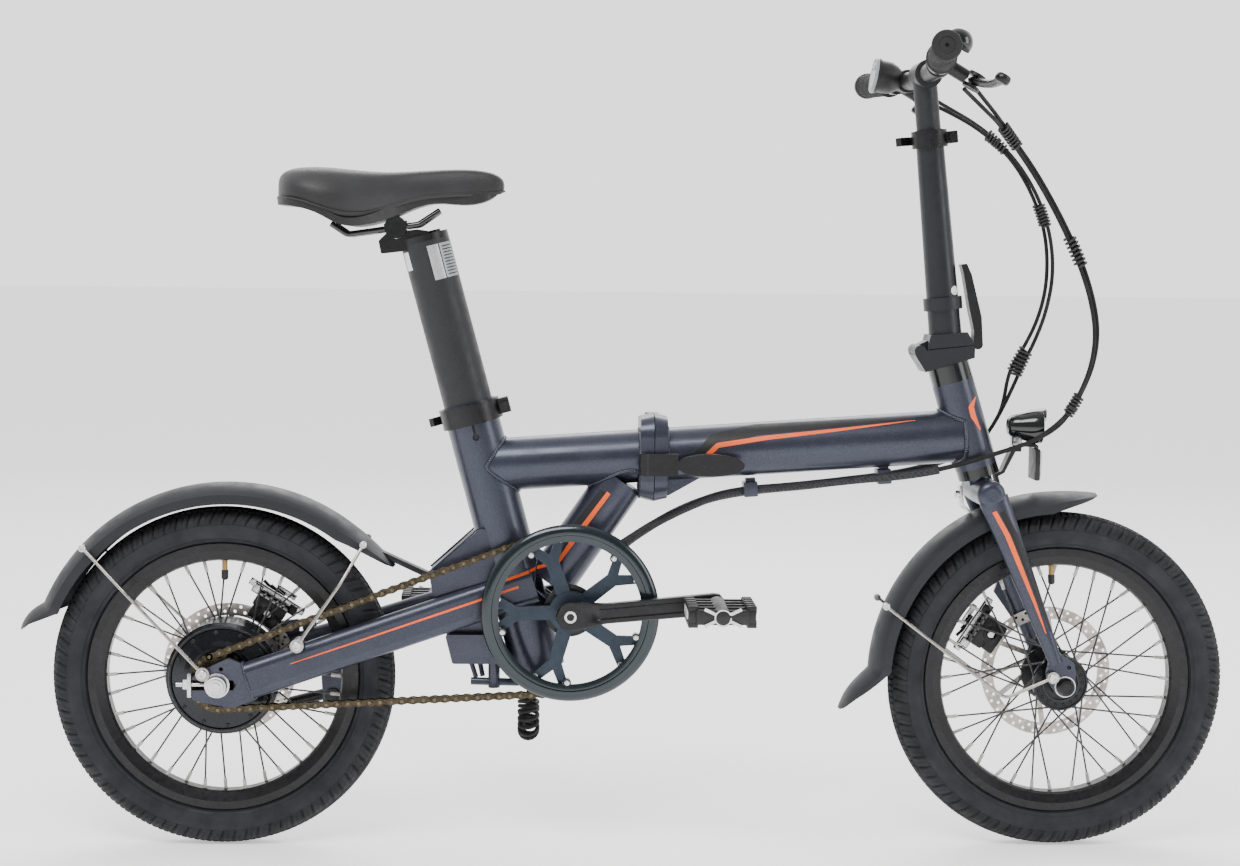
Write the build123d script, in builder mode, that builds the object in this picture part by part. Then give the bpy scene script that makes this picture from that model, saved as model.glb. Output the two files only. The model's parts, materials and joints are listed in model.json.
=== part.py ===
from build123d import *

import os
from math import atan2, cos, pi, radians, sin, tan

# Folding bicycle with a seatpost battery and a rear hub motor, in millimetres.
# +X is forward, +Y is the rider's left, +Z is up. The origin is on the ground, midway along the bicycle.

# ---------------------------------------------------------------- driving dimensions
wheel_radius = 203
wheelbase = 1000
rear_x = -480
front_x = rear_x + wheelbase
rim_radius = 160
rim_inner_radius = 139
rotor_radius = 80
rear_rotor_y, front_rotor_y = 41.5, 45

bracket_x, bracket_z = -69, 289
crank_length = 170
crank_rise = 5.4
chain_y = -46
pitch = 12.7
ring_teeth, sprocket_teeth = 48, 16

seat_lean = 15.2
seat_tube_radius, seat_tube_bore = 31.75, 29.3
seat_tube_length = 330
post_radius = 29
main_tube_radius, main_tube_bore = 31.75, 29
hinge_x, hinge_y = 29, 46
hinge_gap = 0.4
head_lean = 16.9
stem_lean = 6

dropout_inner, dropout_outer = 58.5, 65.5
fork_inner, fork_outer = 50.5, 56.5
bar_half_width = 280
grip_length = 105

os.makedirs("parts", exist_ok=True)


# ---------------------------------------------------------------- helpers
def leaning(x, z, lean):
    """A plane whose Z runs up a tube that leans back, with X forward and Y to the left."""
    angle = radians(lean)
    return Plane(origin=(x, 0, z), x_dir=(cos(angle), 0, sin(angle)), z_dir=(-sin(angle), 0, cos(angle)))


def rod(start, end, radius, mode=Mode.ADD):
    """A round bar from one point to another."""
    run = Vector(end) - Vector(start)
    with BuildSketch(Plane(origin=start, z_dir=run)) as section:
        Circle(radius)
    extrude(section.sketch, amount=run.length, mode=mode)


def oval_rod(start, end, height, width, mode=Mode.ADD):
    """A bar of oval section, taller than it is wide."""
    run = Vector(end) - Vector(start)
    with BuildSketch(Plane(origin=start, x_dir=(0, 1, 0), z_dir=run)) as section:
        RectangleRounded(width, height, width / 2 - 0.1)
    extrude(section.sketch, amount=run.length, mode=mode)


def crosswise(x, z, y_from, y_to, radius, mode=Mode.ADD):
    """A round bar that runs across the bicycle."""
    rod((x, y_from, z), (x, y_to, z), radius, mode)


def sleeve(plane, low, high, outer, inner=0, mode=Mode.ADD):
    """A round tube about a plane's Z axis."""
    with BuildSketch(plane.offset(low)) as section:
        Circle(outer)
        if inner:
            Circle(inner, mode=Mode.SUBTRACT)
    extrude(section.sketch, amount=high - low, mode=mode)


def plate(outline, y_from, y_to, corner=0, mode=Mode.ADD):
    """A flat plate drawn in the side view, from one y to another."""
    with BuildSketch(Plane.XZ.offset(-y_from)) as face:
        with BuildLine():
            Polyline(*outline, close=True)
        make_face()
        if corner:
            fillet(face.vertices(), corner)
    extrude(face.sketch, amount=y_from - y_to, mode=mode)


def turned(x, z, outline, mode=Mode.ADD):
    """A ring turned about a crosswise axle, from a closed outline of (y, radius) points."""
    with BuildSketch(Plane(origin=(x, 0, z), x_dir=(0, 1, 0), z_dir=(1, 0, 0))) as section:
        with BuildLine():
            Polyline(*outline, close=True)
        make_face()
    revolve(section.sketch, axis=Axis((x, 0, z), (0, 1, 0)), mode=mode)


def bend_radii(route):
    """The largest bend that each corner of a route leaves room for."""
    radii = []
    for before, corner, after in zip(route, route[1:], route[2:]):
        arriving = Vector(corner) - Vector(before)
        leaving = Vector(after) - Vector(corner)
        shorter = min(arriving.length, leaving.length)
        radii.append(0.45 * shorter / tan(radians(arriving.get_angle(leaving)) / 2))
    return radii


def bent_rod(route, radius, bend=None):
    """A round bar or cable along a route of straight runs joined by arcs."""
    bends = bend_radii(route) if bend is None else bend
    with BuildLine() as path:
        FilletPolyline(*route, radius=bends)
    with BuildSketch(Plane(origin=path.line @ 0, z_dir=path.line % 0)) as section:
        Circle(radius)
    sweep(section.sketch, path=path.line)
    return path.wires()[0].length, min(bends) if bend is None else bend


collar_wall = 4.5
ear_half_gap = 10


def split_collar(plane, tube_radius, low, high):
    """A split collar about a tube, with two ears in front of it and the bolt that draws them together."""
    outer = tube_radius + collar_wall
    middle = (low + high) / 2
    sleeve(plane, low, high, outer)
    with BuildSketch(plane.offset(low + 3)) as ears:
        with Locations((outer + 2, 0)):
            Rectangle(18, 2 * ear_half_gap)
    extrude(ears.sketch, amount=high - low - 6)
    sleeve(plane, low - 1, high + 1, tube_radius + 0.05, mode=Mode.SUBTRACT)
    with BuildSketch(plane.offset(low - 1)) as slit:
        with Locations((outer + 4, 0)):
            Rectangle(22, 3)
    extrude(slit.sketch, amount=high - low + 2, mode=Mode.SUBTRACT)
    bolt = [plane.from_local_coords(Vector(outer + 5, y, middle)) for y in (-16, -ear_half_gap - 0.1, 12)]
    rod(bolt[0], bolt[2], 2.6, Mode.SUBTRACT)
    rod(bolt[0], bolt[1], 5)
    rod(bolt[0], bolt[2], 2.5)


def collar_lever(plane, tube_radius, low, high):
    """The over-centre lever of a split collar, which wraps back round the left of the tube."""
    outer = tube_radius + collar_wall
    pivot_x = outer + 5
    inner, reach = outer + 3.5, outer + 8.5
    middle, tail = radians(95), radians(150)
    with BuildSketch(plane.offset((low + high) / 2 - 5)) as arm:
        with Locations((pivot_x, 17.6)):
            Circle(5)
        with BuildLine() as edge:
            Line((pivot_x + 4.6, 19.5), (pivot_x - 5, 23.5))
            ThreePointArc(
                (pivot_x - 5, 23.5), (reach * cos(middle), reach * sin(middle)),
                (reach * cos(tail), reach * sin(tail))
            )
            Polyline(
                (reach * cos(tail), reach * sin(tail)), (reach * cos(tail) - 13, reach * sin(tail) - 5),
                (inner * cos(tail) - 12, inner * sin(tail) - 8), (inner * cos(tail), inner * sin(tail)),
            )
            ThreePointArc(
                (inner * cos(tail), inner * sin(tail)), (inner * cos(middle), inner * sin(middle)),
                (pivot_x - 4.6, 15.7)
            )
            Line((pivot_x - 4.6, 15.7), (pivot_x + 4.6, 19.5))
        make_face(edge.edges())
    extrude(arm.sketch, amount=10)


# ---------------------------------------------------------------- shared planes
seat_plane = leaning(-105.2, 213, seat_lean)
head_plane = leaning(418.5, 460.5, head_lean)
stem_plane = leaning(377, 622, stem_lean)
head_length = 106.5


def on_seat(up, forward=0, left=0):
    """A point measured along the seat tube."""
    return seat_plane.from_local_coords(Vector(forward, left, up))


def on_head(up, forward=0, left=0):
    """A point measured along the head tube."""
    return head_plane.from_local_coords(Vector(forward, left, up))


def on_stem(up, forward=0, left=0):
    """A point measured along the folding handlepost."""
    return stem_plane.from_local_coords(Vector(forward, left, up))


def main_tube_z(x):
    """The height of the main tube's axis."""
    return 471 + 0.0707 * (x - hinge_x)


# ---------------------------------------------------------------- rear frame
casting_z, casting_depth, casting_taper = 469, 15.6, 14
casting_size, casting_corner = (82, 104), 26
stay_rear = (-445, 61, 207.5)
stay_front = (-112, 21.5, 317)
dropout_outline = [
    (-509.5, 212), (-492.5, 223), (-467, 235), (-450, 228), (-441, 224),
    (-431, 188), (-463.6, 175.6), (-509.5, 185),
]
brake_tab = [(-434, 226), (-398, 238), (-396, 262), (-430, 258)]
yoke_outline = [(-176, 384), (-236, 331), (-231, 300), (-120, 336), (-132, 380)]

with BuildPart() as rear_frame:
    sleeve(seat_plane, 0, seat_tube_length, seat_tube_radius)
    rod((-165, 0, main_tube_z(-165)), (20, 0, main_tube_z(20)), main_tube_radius)
    rod((-8, 0, 441), (-92, 0, 318), 28.5)
    crosswise(bracket_x, bracket_z, -34, 34, 21)
    plate(yoke_outline, -27, 27, corner=6)
    for side in (-1, 1):
        start = (stay_rear[0], side * stay_rear[1], stay_rear[2])
        end = (stay_front[0], side * stay_front[1], stay_front[2])
        oval_rod(start, end, 44, 22)
        plate(dropout_outline, side * dropout_inner, side * dropout_outer, corner=5)
        crosswise(-386.5, 251.5, side * 50, side * 69, 7)
    # the hinge casting, and its top and bottom knuckles
    with BuildSketch(Plane(origin=(hinge_x - hinge_gap, 0, 0), x_dir=(0, 1, 0), z_dir=(-1, 0, 0))) as casting:
        with Locations((-1, -casting_z)):
            RectangleRounded(*casting_size, casting_corner)
    extrude(casting.sketch, amount=casting_depth, taper=casting_taper)
    for low, high in ((424, 448), (490, 514)):
        with BuildSketch(Plane.XY.offset(low)) as knuckle:
            with Locations((hinge_x, hinge_y)):
                Circle(11)
            with Locations((hinge_x - 8.2, hinge_y - 8)):
                Rectangle(15.6, 18)
        extrude(knuckle.sketch, amount=high - low)
    # the kickstand's pivot plate under the left stay, and the brake's mounting tab
    plate([(-374, 225), (-343, 234), (-346, 154), (-370, 154)], 64, 71, corner=4)
    plate(brake_tab, 51.7, 56, corner=4)
    # bores
    sleeve(seat_plane, -1, seat_tube_length + 1, seat_tube_bore, mode=Mode.SUBTRACT)
    rod((-132, 0, main_tube_z(-132)), (10, 0, main_tube_z(10)), main_tube_bore, Mode.SUBTRACT)
    rod((-22, 0, 420), (-74, 0, 345), 25.5, Mode.SUBTRACT)
    crosswise(bracket_x, bracket_z, -35, 35, 17, Mode.SUBTRACT)
    for side in (-1, 1):
        oval_rod((-432, side * 59.5, 211.8), (-200, side * 32, 288), 39, 17, Mode.SUBTRACT)
        plate([(-520, 197), (-462, 197), (-458, 203), (-462, 209), (-520, 209)],
              side * 55, side * 70, mode=Mode.SUBTRACT)
        crosswise(-475.6, 222, side * 55, side * 70, 2.5, Mode.SUBTRACT)
        crosswise(-496, 217, side * 55, side * 70, 2.5, Mode.SUBTRACT)
    with BuildSketch(Plane.XY.offset(420)) as pin_bore:
        with Locations((hinge_x, hinge_y)):
            Circle(5.05)
    extrude(pin_bore.sketch, amount=100, mode=Mode.SUBTRACT)
    with BuildSketch(Plane.XY.offset(448)) as knuckle_room:
        with Locations((hinge_x, hinge_y)):
            Circle(11.8)
    extrude(knuckle_room.sketch, amount=42, mode=Mode.SUBTRACT)
    crosswise(-358, 165, 60, 75, 5, Mode.SUBTRACT)
    # the slit that lets the seat clamp close, ending in a round hole
    rod(on_seat(290, 0, -22), on_seat(290, 0, -38), 4, Mode.SUBTRACT)
    with BuildSketch(seat_plane.offset(290)) as slit:
        with Locations((0, -31)):
            Rectangle(3, 10)
    extrude(slit.sketch, amount=45, mode=Mode.SUBTRACT)
    # the hinge's pin, a separate piece that stays in this half
    for low, high, radius in ((423.8, 514.2, 5), (420.5, 423.8, 8), (514.2, 518.5, 8)):
        with BuildSketch(Plane.XY.offset(low)) as pin:
            with Locations((hinge_x, hinge_y)):
                Circle(radius)
        extrude(pin.sketch, amount=high - low)
rear_frame.part.label = "rear_frame"
export_step(rear_frame.part, "parts/rear_frame.step")

# ---------------------------------------------------------------- bottom bracket
with BuildPart() as bottom_bracket:
    crosswise(bracket_x, bracket_z, -34, 34, 17)
    for side in (-1, 1):
        crosswise(bracket_x, bracket_z, side * 34, side * 37, 20.5)
    # the pedal sensor's disc and its five screws
    crosswise(bracket_x, bracket_z, -37, -40, 31)
    for step in range(5):
        turn = radians(20 + 72 * step)
        crosswise(bracket_x + 26 * cos(turn), bracket_z + 26 * sin(turn), -39, -41.5, 2.6)
    crosswise(bracket_x, bracket_z, -50, 50, 9.06, Mode.SUBTRACT)
bottom_bracket.part.label = "bottom_bracket"
export_step(bottom_bracket.part, "parts/bottom_bracket.step")

# ---------------------------------------------------------------- motor controller and its connectors
with BuildPart() as controller:
    plate([(-217, 257), (-208, 222), (-143.5, 222), (-153, 257)], -27, 27, corner=3)
    plate([(-212, 256), (-216, 292), (-170, 306), (-156, 256)], -9, 9)
    rod((-186, -14, 222.5), (-180, -16, 204), 3)
    rod((-176, -10, 222.5), (-172, -14, 205), 3)
    rod((-158.5, -20, 222.5), (-158.5, -20, 193), 7)
    rod((-186, -18, 200), (-129, -20, 199), 4.6)
controller.part.label = "controller"
export_step(controller.part, "parts/controller.step")

# ---------------------------------------------------------------- kickstand, folded back at rest
stand_pivot = (-358, 165)
stand_tip = (-503, 127)
with BuildPart() as kickstand_leg:
    crosswise(*stand_pivot, 71.3, 99, 10)
    rod((stand_pivot[0], 88, stand_pivot[1]), (stand_tip[0], 94, stand_tip[1]), 7)
    oval_rod((stand_tip[0] + 16, 93.4, stand_tip[1] + 4.2), (stand_tip[0] - 6, 94.2, stand_tip[1] - 1.6),
             24, 18)
    crosswise(*stand_pivot, 55, 73, 4.9)
    crosswise(*stand_pivot, 60.2, 63.8, 9)
kickstand_leg.part.label = "kickstand_leg"
export_step(kickstand_leg.part, "parts/kickstand_leg.step")

# ---------------------------------------------------------------- seat clamp
with BuildPart() as seat_clamp:
    split_collar(seat_plane, seat_tube_radius, 305, 329)
seat_clamp.part.label = "seat_clamp"
export_step(seat_clamp.part, "parts/seat_clamp.step")

with BuildPart() as seat_clamp_lever:
    collar_lever(seat_plane, seat_tube_radius, 305, 329)
seat_clamp_lever.part.label = "seat_clamp_lever"
export_step(seat_clamp_lever.part, "parts/seat_clamp_lever.step")

# ---------------------------------------------------------------- seatpost, which holds the battery
post_low, post_high = 121, 527
with BuildPart() as seatpost_tube:
    sleeve(seat_plane, post_low, post_high, post_radius, 27)
seatpost_tube.part.label = "seatpost_tube"
export_step(seatpost_tube.part, "parts/seatpost_tube.step")

clamp_x, clamp_z = -276.5, 738
with BuildPart() as seatpost_head:
    plate([(-262, 711), (-294, 707), (-297, 722), (-288, 731), (-252, 736), (-236, 734)], -19.5, 19.5,
          corner=2)
    sleeve(seat_plane, post_high - 20, post_high, post_radius + 0.05, mode=Mode.SUBTRACT)
    sleeve(seat_plane, post_high, post_high + 8, post_radius)
    sleeve(seat_plane, post_high - 8, post_high, 26.9)
    crosswise(clamp_x, clamp_z, -23, 23, 13.4, Mode.SUBTRACT)
    rod(on_seat(post_high + 7, 12, 0), on_seat(post_high + 11, 12, 0), 9)
seatpost_head.part.label = "seatpost_head"
export_step(seatpost_head.part, "parts/seatpost_head.step")

cell_ring, cell_radius, cell_length = 15.7, 9.1, 65
with BuildPart() as battery_cells:
    for layer in range(6):
        with BuildSketch(seat_plane.offset(post_low + 7.5 + layer * cell_length)) as cells:
            with PolarLocations(cell_ring, 5):
                Circle(cell_radius)
        extrude(cells.sketch, amount=cell_length - 0.4)
battery_cells.part.label = "battery_cells"
export_step(battery_cells.part, "parts/battery_cells.step")

with BuildPart() as battery_plug:
    sleeve(seat_plane, post_low, post_low + 6, 26.9)
    sleeve(seat_plane, post_low - 24, post_low, 9)
battery_plug.part.label = "battery_plug"
export_step(battery_plug.part, "parts/battery_plug.step")

# ---------------------------------------------------------------- battery lead: a straight run and a curly loop
lead_radius, coil_radius = 2.5, 13.5
loop_x, loop_top, loop_turn = -117, 190, 157
lead_route = [on_seat(97), on_seat(60), on_seat(28, 0, 2), (-110, 10, 219),
              (-115, 18, 208), (loop_x, 20, loop_top + 0.8)]
with BuildPart() as battery_lead:
    lead_length, lead_bend = bent_rod(lead_route, lead_radius)
print("battery_lead run", round(lead_length, 1), "smallest bend", round(lead_bend, 1))
battery_lead.part.label = "battery_lead"
export_step(battery_lead.part, "parts/battery_lead.step")

with BuildPart() as battery_lead_coil:
    with BuildLine() as loop:
        Line((loop_x, 20, loop_top), (loop_x, 20, loop_turn))
        ThreePointArc((loop_x, 20, loop_turn), (loop_x, 0, loop_turn - 20), (loop_x, -20, loop_turn))
        Line((loop_x, -20, loop_turn), (loop_x, -20, loop_top))
    with BuildSketch(Plane(origin=(loop_x, 20, loop_top), z_dir=(0, 0, -1))):
        Circle(coil_radius)
    sweep(path=loop.line)
battery_lead_coil.part.label = "battery_lead_coil"
export_step(battery_lead_coil.part, "parts/battery_lead_coil.step")

# ---------------------------------------------------------------- saddle
saddle_top = [(-413, 778), (-410, 792), (-390, 805), (-352, 806), (-306, 801), (-255, 804), (-205, 806.5)]
saddle_nose = [(-168, 801), (-154, 791), (-152, 785.5)]
saddle_seam = [(-197, 779), (-243, 776), (-278, 764.5), (-313, 750), (-339, 750), (-362, 763), (-384, 769.5)]
saddle_plan = [(-416, 0), (-412, 42), (-398, 66), (-372, 77), (-340, 74), (-300, 55), (-268, 36), (-236, 26),
               (-196, 20.5), (-165, 17), (-153.5, 8), (-151.5, 0)]


def saddle_blank(low_edge, thickness, inset):
    """Keeps what lies inside the saddle's plan outline, narrowed by an inset."""
    with BuildSketch(Plane.XY.offset(low_edge)) as outline:
        with BuildLine():
            half = [(x, max(y - inset, 0)) for x, y in saddle_plan]
            Spline(*half, tangents=((0, 1), (0, -1)))
            Line(half[-1], half[0])
        make_face()
        mirror(outline.sketch, about=Plane.XZ)
    extrude(outline.sketch, amount=thickness, mode=Mode.INTERSECT)


with BuildPart() as saddle_cover:
    with BuildSketch(Plane.XZ.offset(-90)) as side_view:
        with BuildLine():
            Spline(*saddle_top, *saddle_nose)
            Spline(saddle_nose[-1], *saddle_seam, (-413, 771))
            Line((-413, 771), saddle_top[0])
        make_face()
    extrude(side_view.sketch, amount=180)
    saddle_blank(740, 80, 0)
saddle_cover.part.label = "saddle_cover"
export_step(saddle_cover.part, "parts/saddle_cover.step")

with BuildPart() as saddle_base:
    with BuildSketch(Plane.XZ.offset(-90)) as side_view:
        with BuildLine():
            under = [(x, z - 0.4) for x, z in [saddle_nose[-1], *saddle_seam, (-413, 771)]]
            lower = [(-411, 762), (-384, 759), (-362, 752), (-337, 740), (-311, 740), (-262, 757),
                     (-232, 766), (-200, 765), (-173, 769)]
            Spline(*under)
            Line(under[-1], lower[0])
            Spline(*lower, under[0])
        make_face()
    extrude(side_view.sketch, amount=180)
    saddle_blank(730, 80, 1.5)
    # the hollow under the base where the rails lie
    plate([(-400, 730), (-400, 757), (-352, 744.5), (-330, 734.5), (-300, 735.5), (-262, 750), (-232, 761),
           (-200, 761), (-200, 730)], -14, 14, mode=Mode.SUBTRACT)
saddle_base.part.label = "saddle_base"
export_step(saddle_base.part, "parts/saddle_base.step")

rail_radius = 3.5
rail_route = [(-352, 24, 741.5), (-333, 24, 729), (-250, 23, 741.5), (-226, 13, 758)]
with BuildPart() as saddle_rails:
    for side in (-1, 1):
        bent_rod([(x, side * y, z) for x, y, z in rail_route], rail_radius, 9)
    # the clamp, a cylinder that lies in the seatpost's cradle and grips both rails
    crosswise(clamp_x, clamp_z, -30, 30, 13)
    plate([(-290, 738), (-263, 742), (-263, 746), (-290, 742)], -30, 30)
saddle_rails.part.label = "saddle_rails"
export_step(saddle_rails.part, "parts/saddle_rails.step")

# ---------------------------------------------------------------- wheels
tyre_outline = [
    (-12.4, 152.2), (-12.4, 160.5), (-21.5, 166), (-25, 177), (-23.5, 188), (-17, 197), (-9, 201.6), (0, 203),
    (9, 201.6), (17, 197), (23.5, 188), (25, 177), (21.5, 166), (12.4, 160.5), (12.4, 152.2), (9, 152.2),
    (9.4, 161), (18, 168), (21, 177), (19.5, 186), (14, 192.5), (0, 196.5), (-14, 192.5), (-19.5, 186),
    (-21, 177), (-18, 168), (-9.4, 161), (-9, 152.2),
]
rim_outline = [
    (-16, rim_radius), (-16, 151), (-12, 141), (-8, rim_inner_radius), (8, rim_inner_radius), (12, 141), (16, 151),
    (16, rim_radius), (12.6, rim_radius), (12.6, 152), (-12.6, 152), (-12.6, rim_radius),
]
rim_chamber = [(-12.6, 150), (-9.8, 143), (-6, 141.2), (6, 141.2), (9.8, 143), (12.6, 150)]
spoke_count = 36

for wheel, x, rotor_y in (("rear", rear_x, rear_rotor_y), ("front", front_x, front_rotor_y)):
    with BuildPart() as tyre:
        turned(x, wheel_radius, tyre_outline)
    tyre.part.label = wheel + "_tyre"
    export_step(tyre.part, "parts/" + wheel + "_tyre.step")

    with BuildPart() as rim:
        turned(x, wheel_radius, rim_outline)
        turned(x, wheel_radius, rim_chamber, Mode.SUBTRACT)
    rim.part.label = wheel + "_rim"
    export_step(rim.part, "parts/" + wheel + "_rim.step")

    with BuildPart() as rotor:
        with BuildSketch(Plane.XZ.offset(-rotor_y)) as disc:
            with Locations((x, wheel_radius)):
                Circle(rotor_radius)
                Circle(rotor_radius - 15, mode=Mode.SUBTRACT)
                Circle(29)
                for step in range(6):
                    turn = radians(60 * step)
                    with BuildLine(mode=Mode.PRIVATE) as arm:
                        Polyline(
                            (25 * cos(turn), 25 * sin(turn)),
                            (67 * cos(turn + 0.45), 67 * sin(turn + 0.45)),
                            (67 * cos(turn + 0.55), 67 * sin(turn + 0.55)),
                            (25 * cos(turn + 0.3), 25 * sin(turn + 0.3)),
                            close=True,
                        )
                    add(make_face(arm.edges(), mode=Mode.PRIVATE))
                Circle(17.5, mode=Mode.SUBTRACT)
            for ring, count, shift in ((76, 36, 0), (70, 36, 5)):
                with Locations((x, wheel_radius)):
                    with PolarLocations(ring, count, start_angle=shift):
                        Circle(1.9, mode=Mode.SUBTRACT)
        extrude(disc.sketch, amount=0.9, both=True)
    rotor.part.label = wheel + "_rotor"
    export_step(rotor.part, "parts/" + wheel + "_rotor.step")

# hub sizes: the flange's spoke radius and its distance from the wheel's middle plane
hub_flange = {"rear": (66.5, 19.5), "front": (31, 31)}
lacing = {"rear": 0.13, "front": 0.9}
for wheel, x in (("rear", rear_x), ("front", front_x)):
    flange_radius, flange_y = hub_flange[wheel]
    with BuildPart() as spokes:
        for step in range(spoke_count):
            side = 1 if step % 2 else -1
            outward = 1 if step % 4 < 2 else -1
            lean = outward * lacing[wheel]
            hub_y = side * (flange_y + outward * 1.9)
            at_rim = 2 * pi * step / spoke_count
            at_hub = at_rim + lean
            hub_end = (x + flange_radius * cos(at_hub), hub_y, wheel_radius + flange_radius * sin(at_hub))
            rim_end = (x + 138.9 * cos(at_rim), side * (4 + outward * 1.3),
                       wheel_radius + 138.9 * sin(at_rim))
            run = Vector(rim_end) - Vector(hub_end)
            nipple = Vector(rim_end) - run * (12 / run.length)
            rod(hub_end, rim_end, 1.1)
            rod(nipple, rim_end, 2.1)
    spokes.part.label = wheel + "_spokes"
    export_step(spokes.part, "parts/" + wheel + "_spokes.step")

with BuildPart() as motor_shell:
    turned(rear_x, wheel_radius, [
        (-44, 8.1), (-44, 17), (-33, 17), (-33, 36), (-29, 46), (-26, 59), (-22, 67), (22, 67), (26, 60),
        (30, 48), (34, 36), (40, 33), (40, 8.1),
    ])
    turned(rear_x, wheel_radius, [
        (-20, 8), (-26, 30), (-24, 44), (-18, 61), (18, 61), (24, 46), (26, 30), (20, 8),
    ], Mode.SUBTRACT)
    turned(rear_x, wheel_radius, [(39, 8.1), (39, 17.4), (43, 17.4), (43, 8.1)])
motor_shell.part.label = "motor_shell"
export_step(motor_shell.part, "parts/motor_shell.step")

with BuildPart() as motor_axle:
    crosswise(rear_x, wheel_radius, -37, 37, 8)
    crosswise(rear_x, wheel_radius, -84, 84, 5.9)
    for side in (-1, 1):
        crosswise(rear_x, wheel_radius, side * 50, side * 58.4, 9)
        crosswise(rear_x, wheel_radius, side * 65.6, side * 68, 13)
        crosswise(rear_x, wheel_radius, side * 68, side * 79, 12)
        crosswise(rear_x, wheel_radius, side * 79, side * 82, 9.5)
    turned(rear_x, wheel_radius, [(-14, 8), (-14, 57), (14, 57), (14, 8)])
    # the chain tensioners, one behind each dropout
    for side in (-1, 1):
        plate([(-514, 190), (-510, 190), (-510, 216), (-514, 216)], side * 55, side * 69, corner=1)
        rod((-528, side * 62, 203), (-487, side * 62, 203), 2.6)
        rod((-520, side * 62, 203), (-514.5, side * 62, 203), 5)
motor_axle.part.label = "motor_axle"
export_step(motor_axle.part, "parts/motor_axle.step")

with BuildPart() as front_hub:
    turned(front_x, wheel_radius, [
        (-38, 5.3), (-38, 12), (-33, 14), (-33, 33.5), (-29, 33.5), (-27, 18), (27, 18), (29, 33.5), (33, 33.5),
        (33, 20), (44, 20), (44, 17.2), (46.5, 17.2), (46.5, 5.3),
    ])
    turned(front_x, wheel_radius, [(-25, 5.2), (-25, 14), (25, 14), (25, 5.2)], Mode.SUBTRACT)
front_hub.part.label = "front_hub"
export_step(front_hub.part, "parts/front_hub.step")

with BuildPart() as front_axle:
    crosswise(front_x, wheel_radius, -64, 64, 4.9)
    for side in (-1, 1):
        crosswise(front_x, wheel_radius, side * 47.5, side * 50.4, 8)
        crosswise(front_x, wheel_radius, side * 56.6, side * 58, 10.5)
        crosswise(front_x, wheel_radius, side * 58, side * 66, 8.5)
front_axle.part.label = "front_axle"
export_step(front_axle.part, "parts/front_axle.step")

# ---------------------------------------------------------------- drive: sprocket, chain, chainring, cranks
ring_radius = pitch / (2 * sin(pi / ring_teeth))
sprocket_radius = pitch / (2 * sin(pi / sprocket_teeth))
crank_angle = radians(crank_rise)
roller_radius = 3.9


def toothed_disc(x, z, teeth, pitch_radius):
    """A toothed disc of chain pitch, in the chain's plane."""
    with BuildSketch(Plane.XZ.offset(-chain_y)) as disc:
        with Locations((x, z)):
            Circle(pitch_radius + 3.9)
            with PolarLocations(pitch_radius, teeth):
                Circle(roller_radius + 0.3, mode=Mode.SUBTRACT)
            with PolarLocations(pitch_radius + 4.2, teeth):
                Circle(roller_radius + 0.6, mode=Mode.SUBTRACT)
    return disc.sketch


with BuildPart() as freewheel:
    extrude(toothed_disc(rear_x, wheel_radius, sprocket_teeth, sprocket_radius), amount=1.1, both=True)
    crosswise(rear_x, wheel_radius, -49.5, -37, 25)
    crosswise(rear_x, wheel_radius, -52, -33.5, 17.08, Mode.SUBTRACT)
freewheel.part.label = "freewheel"
export_step(freewheel.part, "parts/freewheel.step")


def chain_loop(y, spread):
    """The closed outline that runs round both sprockets, this far outside the pitch line."""
    with BuildSketch(Plane.XZ.offset(-y)) as loop:
        with Locations((rear_x, wheel_radius)):
            Circle(sprocket_radius + spread)
        with Locations((bracket_x, bracket_z)):
            Circle(ring_radius + spread)
        make_hull()
    return loop.sketch


plate_half_height = 4.2
run = Vector(bracket_x - rear_x, 0, bracket_z - wheel_radius)
run_slope = atan2(run.Z, run.X)
spread_angle = atan2(ring_radius - sprocket_radius,
                     (run.length**2 - (ring_radius - sprocket_radius) ** 2) ** 0.5)
with BuildPart() as chain:
    for inner_y in (chain_y - 2.6, chain_y + 4.0):
        extrude(chain_loop(inner_y, plate_half_height), amount=1.4)
        extrude(chain_loop(inner_y, -plate_half_height), amount=1.4, mode=Mode.SUBTRACT)
    for up in (1, -1):
        lift = run_slope + up * (spread_angle + pi / 2)
        along = run_slope + up * spread_angle
        for link in range(2, 30):
            x = rear_x + sprocket_radius * cos(lift) + link * pitch * cos(along)
            z = wheel_radius + sprocket_radius * sin(lift) + link * pitch * sin(along)
            crosswise(x, z, chain_y - 3.6, chain_y + 3.6, roller_radius)
chain.part.label = "chain"
export_step(chain.part, "parts/chain.step")

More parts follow.
